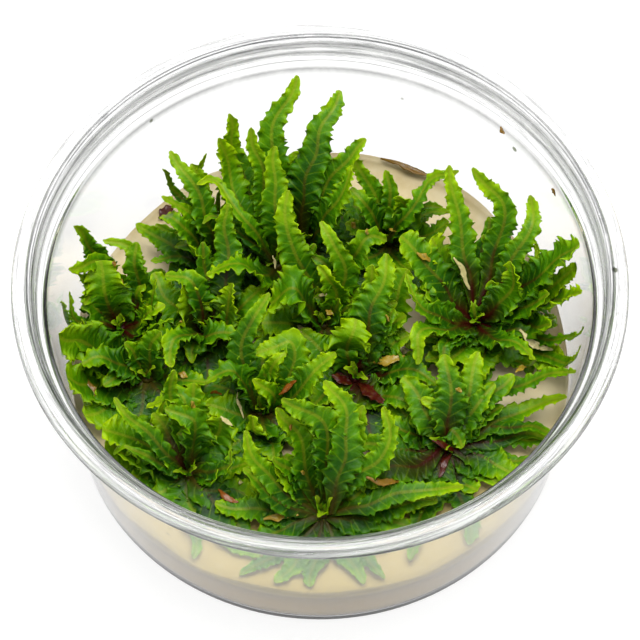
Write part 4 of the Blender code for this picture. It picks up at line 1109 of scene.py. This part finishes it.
def growing_gel(settings):
    """Agar gel, set in the cup: wet and cloudy, so light goes in, spreads and comes back beige."""
    material, tree, shader = new_material("growing_gel")
    place = node(tree, "ShaderNodeTexCoord").outputs["Object"]
    cloud = node(tree, "ShaderNodeTexNoise", inputs={
        "Vector": place, "Scale": 1 / GEL_CLOUD, "Detail": 5.0, "Roughness": 0.6,
    }).outputs["Fac"]
    mottled = node(tree, "ShaderNodeMapRange", {"interpolation_type": "SMOOTHSTEP"}, {
        "Value": cloud, "From Min": 0.35, "From Max": 0.7,
    }).outputs["Result"]
    colour = node(tree, "ShaderNodeMix", {"data_type": "RGBA"}, {
        0: mottled, 6: (*settings.body, 1), 7: (*settings.cloudy, 1),
    }).outputs[2]

    # Painted shadow of the cup's wall and lip: darker, browner gel towards -Y, with a soft and uneven
    # limit
    along = node(tree, "ShaderNodeSeparateXYZ", inputs={0: place}).outputs[1]
    along = node(tree, "ShaderNodeMath", {"operation": "MULTIPLY_ADD"}, {
        0: cloud, 1: FRONT_SHADE_WANDER, 2: along,
    }).outputs[0]
    shaded_front = node(tree, "ShaderNodeMapRange", {"interpolation_type": "SMOOTHSTEP"}, {
        "Value": along, "From Min": FRONT_SHADE_FROM, "From Max": FRONT_SHADE_TO,
    }).outputs["Result"]
    colour = node(tree, "ShaderNodeMix", {"data_type": "RGBA"}, {
        0: shaded_front, 6: colour, 7: (*settings.old, 1),
    }).outputs[2]

    # Layers of the side: darker under the top and at the foot, paler between them
    height = node(tree, "ShaderNodeSeparateXYZ", inputs={0: place}).outputs[2]
    layers = node(tree, "ShaderNodeMapRange", inputs={
        "Value": height, "From Min": 0.0, "From Max": GEL_TOP,
    }).outputs["Result"]
    layers = node(tree, "ShaderNodeValToRGB", inputs={"Fac": layers})
    stops = layers.color_ramp.elements
    stops.remove(stops[1])
    stops[0].position = GEL_LAYERS[0][0] * MM / GEL_TOP
    for layer, _ in GEL_LAYERS[1:]:
        stops.new(layer * MM / GEL_TOP)
    for stop, (_, code) in zip(stops, GEL_LAYERS):
        stop.color = (*linear(code), 1)
    colour = node(tree, "ShaderNodeMix", {"data_type": "RGBA", "blend_type": "MULTIPLY"}, {
        0: 1.0, 6: colour, 7: layers.outputs["Color"],
    }).outputs[2]
    tree.links.new(colour, shader.inputs["Base Color"])
    shader.inputs["Roughness"].default_value = 0.34
    shader.inputs["Specular IOR Level"].default_value = 0.15
    shader.inputs["IOR"].default_value = 1.34
    shader.inputs["Transmission Weight"].default_value = 0.12
    bump = node(tree, "ShaderNodeBump", inputs={
        "Strength": 0.35, "Distance": 0.25 * MM, "Height": cloud,
    }).outputs["Normal"]
    tree.links.new(bump, shader.inputs["Normal"])
    inside = node(tree, "ShaderNodeVolumeAbsorption", inputs={
        "Color": (*settings.depth, 1), "Density": 60.0,
    })
    tree.links.new(inside.outputs[0], tree.nodes["Material Output"].inputs["Volume"])
    return material


def clear_plastic(settings):
    """Clear polystyrene, injection moulded: glossy and colourless, grey where it is thick, with
    specks of dirt, painted dark rings where its edges show dark, mould lines and a film of fine
    drops low on the wall."""
    material, tree, shader = new_material("clear_plastic")
    place = node(tree, "ShaderNodeTexCoord").outputs["Object"]
    height = node(tree, "ShaderNodeSeparateXYZ", inputs={0: place}).outputs[2]
    flat = node(tree, "ShaderNodeVectorMath", {"operation": "MULTIPLY"}, {
        0: place, 1: (1.0, 1.0, 0.0),
    }).outputs[0]
    radius = node(tree, "ShaderNodeVectorMath", {"operation": "LENGTH"}, {0: flat}).outputs["Value"]
    cloud = node(tree, "ShaderNodeTexNoise", inputs={
        "Vector": place, "Scale": 1 / FILM_CLOUD, "Detail": 6.0, "Roughness": 0.7,
    }).outputs["Fac"]
    colour = node(tree, "ShaderNodeMix", {"data_type": "RGBA"}, {
        0: specks(tree, place), 6: WHITE, 7: (*settings.dirt, 1),
    }).outputs[2]
    # Painted shade: dark rings where the edges of the seat, the lip's ridge and its rim show dark
    colour = node(tree, "ShaderNodeMix", {"data_type": "RGBA"}, {
        0: edge_shade_mask(tree, radius, cloud), 6: colour, 7: (*settings.edge_line_shade, 1),
    }).outputs[2]
    lines, frost = mould_lines(tree, place, radius, height)
    colour = node(tree, "ShaderNodeMix", {"data_type": "RGBA"}, {
        0: lines, 6: colour, 7: (*settings.streak, 1),
    }).outputs[2]
    tree.links.new(colour, shader.inputs["Base Color"])

    # Film of fine drops on the wall
    low = node(tree, "ShaderNodeMapRange", {"interpolation_type": "SMOOTHSTEP"}, {
        "Value": height, "From Min": SEAT, "From Max": FILM_TOP,
    }).outputs["Result"]
    film = node(tree, "ShaderNodeMapRange", {"interpolation_type": "SMOOTHSTEP"}, {
        "Value": cloud, "From Min": 0.30, "From Max": 0.72,
    }).outputs["Result"]
    film = node(tree, "ShaderNodeMath", {"operation": "MULTIPLY"}, {0: film, 1: low}).outputs[0]
    rough = node(tree, "ShaderNodeMapRange", inputs={
        "Value": film, "To Min": 0.015, "To Max": 0.05,
    }).outputs["Result"]
    tree.links.new(rough, shader.inputs["Roughness"])
    clear = node(tree, "ShaderNodeMapRange", inputs={
        "Value": film, "To Min": 1.0, "To Max": 0.99,
    }).outputs["Result"]
    clear = node(tree, "ShaderNodeMath", {"operation": "SUBTRACT"}, {0: clear, 1: frost}).outputs[0]
    tree.links.new(clear, shader.inputs["Transmission Weight"])
    shader.inputs["Specular Tint"].default_value = (*linear(GLOSS), 1)
    shader.inputs["IOR"].default_value = 1.47
    shader.inputs["Specular IOR Level"].default_value = 0.2
    inside = node(tree, "ShaderNodeVolumeAbsorption", inputs={
        "Color": (*settings.tint, 1), "Density": 40.0,
    })
    tree.links.new(inside.outputs[0], tree.nodes["Material Output"].inputs["Volume"])
    return material


def specks(tree, place):
    """Where specks of dirt are: small round spots in a few of the cells."""
    cells = node(tree, "ShaderNodeTexVoronoi", inputs={"Vector": place, "Scale": 1 / SPECK_SPACING})
    dot = node(tree, "ShaderNodeMapRange", {"interpolation_type": "SMOOTHSTEP"}, {
        "Value": cells.outputs["Distance"], "From Min": 0.14, "From Max": 0.08,
    }).outputs["Result"]
    chosen = node(tree, "ShaderNodeSeparateXYZ", inputs={0: cells.outputs["Color"]}).outputs[0]
    chosen = node(tree, "ShaderNodeMapRange", inputs={
        "Value": chosen, "From Min": 0.95, "From Max": 0.97,
    }).outputs["Result"]
    return node(tree, "ShaderNodeMath", {"operation": "MULTIPLY"}, {0: dot, 1: chosen}).outputs[0]


def edge_shade_mask(tree, radius, cloud):
    """Where shade is painted on the plastic: thin dark rings at the seat, on the lip's ridge and its
    rim, where its edges show dark.
    """
    rings = node(tree, "ShaderNodeMapRange", inputs={
        "Value": radius, "From Min": RINGS_FROM * MM, "From Max": RINGS_TO * MM,
    }).outputs["Result"]
    rings = node(tree, "ShaderNodeValToRGB", inputs={"Fac": rings})
    stops = rings.color_ramp.elements
    stops[0].color = (0, 0, 0, 1)
    stops[1].color = (0.5, 0.5, 0.5, 1)
    for middle, reach, strength in PAINTED_EDGE_RINGS:
        for here, value in ((middle - reach, 0), (middle, strength), (middle + reach, 0)):
            stop = stops.new((here - RINGS_FROM) / (RINGS_TO - RINGS_FROM))
            stop.color = (value, value, value, 1)
    # The painted dark rings, made uneven along their length by the film's clouds
    dimmed = node(tree, "ShaderNodeMapRange", {"interpolation_type": "SMOOTHSTEP"}, {
        "Value": cloud, "From Min": 0.36, "From Max": 0.55, "To Min": 0.75, "To Max": 1.0,
    }).outputs["Result"]
    return node(tree, "ShaderNodeMath", {"operation": "MULTIPLY"}, {
        0: dimmed, 1: rings.outputs["Color"],
    }).outputs[0]


def mould_lines(tree, place, radius, height):
    """Fine streaks around the collar and the lip: where they are grey and how cloudy they are."""
    around = node(tree, "ShaderNodeCombineXYZ", inputs={0: radius, 1: height}).outputs[0]
    around = node(tree, "ShaderNodeVectorMath", {"operation": "SCALE"}, {
        0: around, "Scale": STREAK_STRETCH,
    }).outputs[0]
    around = node(tree, "ShaderNodeVectorMath", {"operation": "ADD"}, {
        0: around, 1: place,
    }).outputs[0]
    high = node(tree, "ShaderNodeMapRange", {"interpolation_type": "SMOOTHSTEP"}, {
        "Value": height, "From Min": SEAT - 0.4 * MM, "From Max": SEAT + WALL,
    }).outputs["Result"]
    streaks = node(tree, "ShaderNodeTexNoise", inputs={
        "Vector": around, "Scale": 1 / STREAK, "Detail": 4.0, "Roughness": 0.65,
    }).outputs["Fac"]
    streaks = node(tree, "ShaderNodeMapRange", {"interpolation_type": "SMOOTHSTEP"}, {
        "Value": streaks, "From Min": 0.36, "From Max": 0.62,
    }).outputs["Result"]
    frost = node(tree, "ShaderNodeMath", {"operation": "MULTIPLY_ADD"}, {
        0: streaks, 1: 0.32, 2: 0.03,
    }).outputs[0]
    frost = node(tree, "ShaderNodeMath", {"operation": "MULTIPLY"}, {0: frost, 1: high}).outputs[0]
    lines = node(tree, "ShaderNodeTexNoise", inputs={
        "Vector": around, "Scale": 1 / FINE_STREAK, "Detail": 2.0, "Roughness": 0.5,
    }).outputs["Fac"]
    lines = node(tree, "ShaderNodeMapRange", {"interpolation_type": "SMOOTHSTEP"}, {
        "Value": lines, "From Min": 0.53, "From Max": 0.64, "To Max": 0.5,
    }).outputs["Result"]
    lines = node(tree, "ShaderNodeMath", {"operation": "MULTIPLY"}, {0: lines, 1: high}).outputs[0]
    return lines, frost


def pale_floor(settings):
    """Pale matt board, lit evenly from behind, as on a light table."""
    material, tree, shader = new_material("pale_floor")
    shader.inputs["Base Color"].default_value = (*settings.floor, 1)
    shader.inputs["Roughness"].default_value = 0.9
    shader.inputs["Specular IOR Level"].default_value = 0.1
    shader.inputs["Emission Color"].default_value = WHITE
    shader.inputs["Emission Strength"].default_value = FLOOR_GLOW
    return material


def cup_profile():
    """Inside of the cup from its floor up to the lip, then down the outside to its base.

    The collar over the seat carries fine moulded ridges, and so does the lip.
    """
    lip_root = MOUTH_RADIUS + WALL
    collar = [
        (MOUTH_RADIUS - WALL + 0.12 * MM, SEAT + WALL + 0.2 * MM),
        (MOUTH_RADIUS - 0.50 * MM, SEAT + 1.7 * MM),
        (MOUTH_RADIUS - 0.62 * MM, SEAT + 1.9 * MM),
        (MOUTH_RADIUS - 0.30 * MM, SEAT + 3.0 * MM),
        (MOUTH_RADIUS - 0.42 * MM, SEAT + 3.2 * MM),
        (MOUTH_RADIUS - 0.10 * MM, SEAT + 4.3 * MM),
        (MOUTH_RADIUS - 0.20 * MM, SEAT + 4.5 * MM),
    ]
    lip = [
        (MOUTH_RADIUS + 0.15 * MM, CUP_HEIGHT - LIP_ROUND),
        (lip_root - 0.40 * MM, CUP_HEIGHT - 0.10 * MM),
        (lip_root, CUP_HEIGHT),
        (lip_root + 0.25 * MM, CUP_HEIGHT - 0.30 * MM),
        (lip_root + 1.30 * MM, CUP_HEIGHT - 0.25 * MM),
        (lip_root + 1.50 * MM, CUP_HEIGHT - 0.10 * MM),
        (lip_root + 1.70 * MM, CUP_HEIGHT - 0.30 * MM),
    ]
    return [
        (0, FLOOR),
        (INNER_FOOT - CORNER, FLOOR),
        (float(wall_radius(FLOOR + CORNER)), FLOOR + CORNER),
        (SEAT_RADIUS - WALL, SEAT),
        (MOUTH_RADIUS - WALL, SEAT + WALL),
        *collar,
        *lip,
        (RIM_RADIUS - LIP_ROUND, CUP_HEIGHT - LIP_ROUND),
        (RIM_RADIUS, CUP_HEIGHT - LIP),
        (RIM_RADIUS - LIP_ROUND, CUP_HEIGHT - LIP_FALL),
        (lip_root, CUP_HEIGHT - LIP_HOLLOW),
        (MOUTH_RADIUS, SEAT),
        (SEAT_RADIUS, SEAT - WALL),
        (BASE_RADIUS + CORNER_SPLAY, CORNER),
        (BASE_RADIUS - CORNER / 2, 0),
        (0, 0),
    ]


def gel_profile():
    """Top of the gel from its middle out to the wall, where it creeps up, then down and back."""
    edge = float(wall_radius(GEL_TOP)) - GAP / 3
    foot = FLOOR + GAP / 2
    top = [(edge * ring / GEL_RINGS, GEL_TOP) for ring in range(GEL_RINGS)]
    creep = [(edge - 0.8 * MM, GEL_TOP + 0.12 * MM), (edge, GEL_TOP + 0.8 * MM)]
    side = [
        (float(wall_radius(height)) - GAP / 3, height)
        for height in np.linspace(GEL_TOP - MM, foot + CORNER, 8)
    ]
    return top + creep + side + [(float(wall_radius(foot)) - CORNER, foot), (0, foot)]


class DownoiOperator:
    """What every step of the build shares."""

    bl_options = {"REGISTER", "UNDO"}


class DOWNOI_OT_cup(DownoiOperator, bpy.types.Operator):
    """Build the clear cup with its seat and lip"""

    bl_idname = "downoi.cup"
    bl_label = "Cup"

    def execute(self, context):
        settings = context.scene.downoi_cup
        profile = rounded(cup_profile(), LIP_ROUND)
        cup = turned("cup_shell", profile, settings.steps, clear_plastic(settings))
        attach(cup, "root")
        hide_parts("cup")
        return {"FINISHED"}


class DOWNOI_OT_gel(DownoiOperator, bpy.types.Operator):
    """Build the slab of gel"""

    bl_idname = "downoi.gel"
    bl_label = "Gel"

    def execute(self, context):
        settings = context.scene.downoi_gel
        gel = turned("gel_slab", gel_profile(), GEL_STEPS, growing_gel(settings), self.uneven)
        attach(gel, "root")
        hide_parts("gel")
        return {"FINISHED"}

    def uneven(self, place):
        """A place of the gel's top, raised by ripples and, along the wall, by its ragged creep."""
        if place.z < GEL_TOP - MM / 2:
            return place
        ripple = bpy.context.scene.downoi_gel.ripple
        wave = noise.noise(place / WAVE) + 0.5 * noise.noise(place / SMALL_WAVE)
        radius = place.xy.length
        edge = float(wall_radius(GEL_TOP))
        near = max(radius - (edge - CREEP_WIDTH), 0.0) / CREEP_WIDTH
        climb = near * max(noise.noise(place.xy.to_3d() / CREEP_WAVE) + 0.3, 0.0) * CREEP_HEIGHT
        height = place.z + wave * ripple + climb
        limit = float(wall_radius(height)) - GAP / 3
        shrink = (limit - (edge - radius) * 0.5) / radius if near > 0 and radius > 0 else 1.0
        return Vector((place.x * shrink, place.y * shrink, height))


class DOWNOI_OT_leaves(DownoiOperator, bpy.types.Operator):
    """Build the large leaves, one piece each"""

    bl_idname = "downoi.leaves"
    bl_label = "Large leaves"

    def execute(self, context):
        settings = context.scene.downoi_leaf
        material = living_leaf(settings)
        for name, stub, leaves in PLANTLETS:
            for leaf, width, root, *points in leaves:
                if root:
                    chance = random.Random(name + leaf)
                    route = leaf_points(stub, root, points)
                    grid = (settings.steps, ACROSS)
                    shell = leaf_shell(route, width * FULLNESS, chance, settings, grid,
                                       **ageing(name, leaf))
                    blade = piece_from(f"blade_{name}_{leaf}", [shell], material)
                    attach(blade, "root")
                    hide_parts(f"leaf_{name}_{leaf}")
        return {"FINISHED"}


def ageing(plantlet, leaf):
    """How red a leaf's foot is, and how far the leaf is dying."""
    dying = DYING_LEAVES.get(leaf, 0.0)
    return {"red": max(float(plantlet in RED_PLANTLETS), float(dying > 0)), "dying": dying}


class DOWNOI_OT_rosettes(DownoiOperator, bpy.types.Operator):
    """Build each plantlet's stem with its small, its hidden and its young leaves"""

    bl_idname = "downoi.rosettes"
    bl_label = "Stems and small leaves"

    def execute(self, context):
        settings = context.scene.downoi_leaf
        material = bpy.data.materials["living_leaf"]
        for name, stub, leaves in PLANTLETS:
            red = float(name in RED_PLANTLETS)
            shells = [stem_shell(stub, red)]
            for leaf, width, root, *points in leaves:
                route = leaf_points(stub, root, points)
                chance = random.Random(name + leaf)
                flat = "drape" in leaf
                if not root:
                    full = width * (FLAT_FULLNESS if flat else FULLNESS)
                    shells.append(leaf_shell(route, full, chance, settings, SMALL_GRID,
                                             age=FLAT_AGE * flat, **ageing(name, leaf)))
                if not flat:
                    beside = companion_points(stub, route, chance)
                    full = width * BESIDE_FULLNESS
                    shells.append(leaf_shell(beside, full, chance, settings, BESIDE_GRID,
                                             red=red, age=BESIDE_AGE))
            shells += self.young_leaves(name, stub, settings)
            shells += self.skirt_leaves(name, stub, red, settings)
            rosette = piece_from("rosette_" + name, shells, material)
            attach(rosette, "root")
            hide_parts("plantlet_" + name)
        return {"FINISHED"}

    def young_leaves(self, name, stub, settings):
        """Short bright leaves that stand in the crown."""
        chance = random.Random("young " + name)
        start = chance.uniform(0, 360)
        shells = []
        for index in range(YOUNG_COUNT):
            length = chance.uniform(*YOUNG_LENGTH) * MM
            rise = chance.uniform(*YOUNG_RISE)
            route = crown_points(stub, start + index * YOUNG_TURN, length, rise)
            width = chance.uniform(*YOUNG_WIDTH) * MM
            shells.append(leaf_shell(route, width, chance, settings, YOUNG_GRID, age=YOUNG_AGE))
        return shells

    def skirt_leaves(self, name, stub, red, settings):
        """Broad dark leaves that spread over the gel from the crown."""
        chance = random.Random("skirt " + name)
        start = chance.uniform(0, 360)
        shells = []
        for index in range(SKIRT_COUNT):
            bearing = start + 360 * index / SKIRT_COUNT + chance.uniform(-SKIRT_SHIFT, SKIRT_SHIFT)
            route = skirt_points(stub, bearing, chance.uniform(*SKIRT_LENGTH) * MM)
            if route[-1].xy.length > SKIRT_LIMIT:
                continue
            width = chance.uniform(*SKIRT_WIDTH) * MM
            shells.append(leaf_shell(route, width, chance, settings, SKIRT_GRID,
                                     red=red, age=SKIRT_AGE, calm=SKIRT_CALM))
        return shells


class DOWNOI_OT_scraps(DownoiOperator, bpy.types.Operator):
    """Lay the dead scraps and the flecks on the leaves and the gel"""

    bl_idname = "downoi.scraps"
    bl_label = "Dead scraps"

    def execute(self, context):
        settings = context.scene.downoi_leaf
        material = dead_leaf(context.scene.downoi_scrap)
        ground = self.ground()
        shells = []
        for number, (kind, width, start, end) in enumerate(SCRAPS):
            chance = random.Random(f"scrap {number}")
            first = self.settled(ground, at(start))
            last = self.settled(ground, at(end))
            bow = Vector((chance.uniform(-1, 1), chance.uniform(-1, 1), 0.5)) * (last - first).length
            middle = (first + last) / 2 + bow * 0.12
            route = [first, first.lerp(middle, 0.7), middle.lerp(last, 0.4), last]
            shell = leaf_shell(route, width * MM, chance, settings, SCRAP_GRID)
            shell[3][:, 2] = KINDS[kind]
            if ground.find_nearest(at(start), SCRAP_REACH)[0] is None:
                self.press_to_wall(shell[0])
            shells.append(shell)
        scraps = piece_from("scraps", shells, material)
        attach(scraps, "root")
        return {"FINISHED"}

    def press_to_wall(self, places):
        """Move a fleck that no leaf carries out to the cup's wall."""
        radius = np.hypot(places[:, 0], places[:, 1])
        gap = (wall_radius(places[:, 2]) - radius).min() - FLECK_CLEARANCE
        places[:, :2] *= ((radius + gap) / radius)[:, None]

    def ground(self):
        """The surfaces of the leaves and the gel, as a tree to find places on."""
        corners = []
        faces = []
        for piece in bpy.data.objects:
            if piece.name.startswith(("blade_", "rosette_", "gel_slab")):
                mesh = piece.data
                count = len(corners)
                corners += [vertex.co for vertex in mesh.vertices]
                faces += [[count + corner for corner in face.vertices] for face in mesh.polygons]
        return BVHTree.FromPolygons(corners, faces)

    def settled(self, ground, place):
        """The nearest place on the ground, a hair above it."""
        lifted = place + Vector((0, 0, SCRAP_LIFT))
        found, normal = ground.find_nearest(lifted, SCRAP_REACH)[:2]
        if found is None:
            return place
        return found + normal * SCRAP_CLEARANCE


class DOWNOI_OT_stage(DownoiOperator, bpy.types.Operator):
    """Set the floor, the lights and the camera"""

    bl_idname = "downoi.stage"
    bl_label = "Floor, lights and camera"

    def execute(self, context):
        settings = context.scene.downoi_stage
        scene = context.scene
        bpy.ops.mesh.primitive_plane_add(size=FLOOR_SIZE, location=(0, 0, -FLOOR_DROP))
        floor = context.object
        floor.name = "floor"
        floor.data.materials.append(pale_floor(settings))
        for name, place, side, share in LIGHTS:
            self.add_light(name, at(place), side, settings.key * share)
        world = bpy.data.worlds.new("soft_white")
        world.use_nodes = True
        tree = world.node_tree
        heading = node(tree, "ShaderNodeTexCoord").outputs["Generated"]
        up = node(tree, "ShaderNodeSeparateXYZ", inputs={0: heading}).outputs[2]
        strength = node(tree, "ShaderNodeMapRange", {"interpolation_type": "SMOOTHSTEP"}, {
            "Value": up, "From Min": 0.05, "From Max": 0.6, "To Min": SKY_LOW, "To Max": SKY_HIGH,
        }).outputs["Result"]
        background = tree.nodes["Background"]
        background.inputs["Color"].default_value = WHITE
        tree.links.new(strength, background.inputs["Strength"])
        scene.world = world
        camera = bpy.data.cameras.new("camera")
        camera.sensor_width = SENSOR
        camera.lens = LENS
        camera.clip_start = 0.01
        camera.clip_end = 50.0
        holder = bpy.data.objects.new("camera", camera)
        holder.location = at(CAMERA_PLACE)
        aim = at(CAMERA_TARGET) - at(CAMERA_PLACE)
        holder.rotation_euler = aim.to_track_quat("-Z", "Y").to_euler()
        scene.collection.objects.link(holder)
        scene.camera = holder
        scene.view_settings.view_transform = "Standard"
        scene.view_settings.look = "None"
        return {"FINISHED"}

    def add_light(self, name, place, side, power):
        """A square soft light that looks at the cup."""
        lamp = bpy.data.lights.new(name, "AREA")
        lamp.size = side
        lamp.energy = power
        holder = bpy.data.objects.new(name, lamp)
        holder.location = place
        aim = at(LIGHT_TARGET) - place
        holder.rotation_euler = aim.to_track_quat("-Z", "Y").to_euler()
        bpy.context.scene.collection.objects.link(holder)


STEPS = (
    DOWNOI_OT_cup,
    DOWNOI_OT_gel,
    DOWNOI_OT_leaves,
    DOWNOI_OT_rosettes,
    DOWNOI_OT_scraps,
    DOWNOI_OT_stage,
)


class DOWNOI_PT_build(bpy.types.Panel):
    """Buttons for each step of the build, in order"""

    bl_label = "Tissue Culture Downoi"
    bl_idname = "DOWNOI_PT_build"
    bl_space_type = "VIEW_3D"
    bl_region_type = "UI"
    bl_category = "Downoi"

    def draw(self, context):
        for step in STEPS:
            self.layout.operator(step.bl_idname)


SETTINGS = {
    "downoi_cup": CupSettings,
    "downoi_gel": GelSettings,
    "downoi_leaf": LeafSettings,
    "downoi_scrap": ScrapSettings,
    "downoi_stage": StageSettings,
}


def register():
    """Register the settings, the steps and the panel."""
    for name, group in SETTINGS.items():
        bpy.utils.register_class(group)
        setattr(bpy.types.Scene, name, PointerProperty(type=group))
    for step in (*STEPS, DOWNOI_PT_build):
        bpy.utils.register_class(step)


def unregister():
    """Take back what register() did."""
    for step in (DOWNOI_PT_build, *reversed(STEPS)):
        bpy.utils.unregister_class(step)
    for name, group in SETTINGS.items():
        delattr(bpy.types.Scene, name)
        bpy.utils.unregister_class(group)


def main():
    """Build everything in order."""
    register()
    bpy.ops.downoi.cup()
    bpy.ops.downoi.gel()
    bpy.ops.downoi.leaves()
    bpy.ops.downoi.rosettes()
    bpy.ops.downoi.scraps()
    bpy.ops.downoi.stage()


if __name__ == "__main__":
    main()
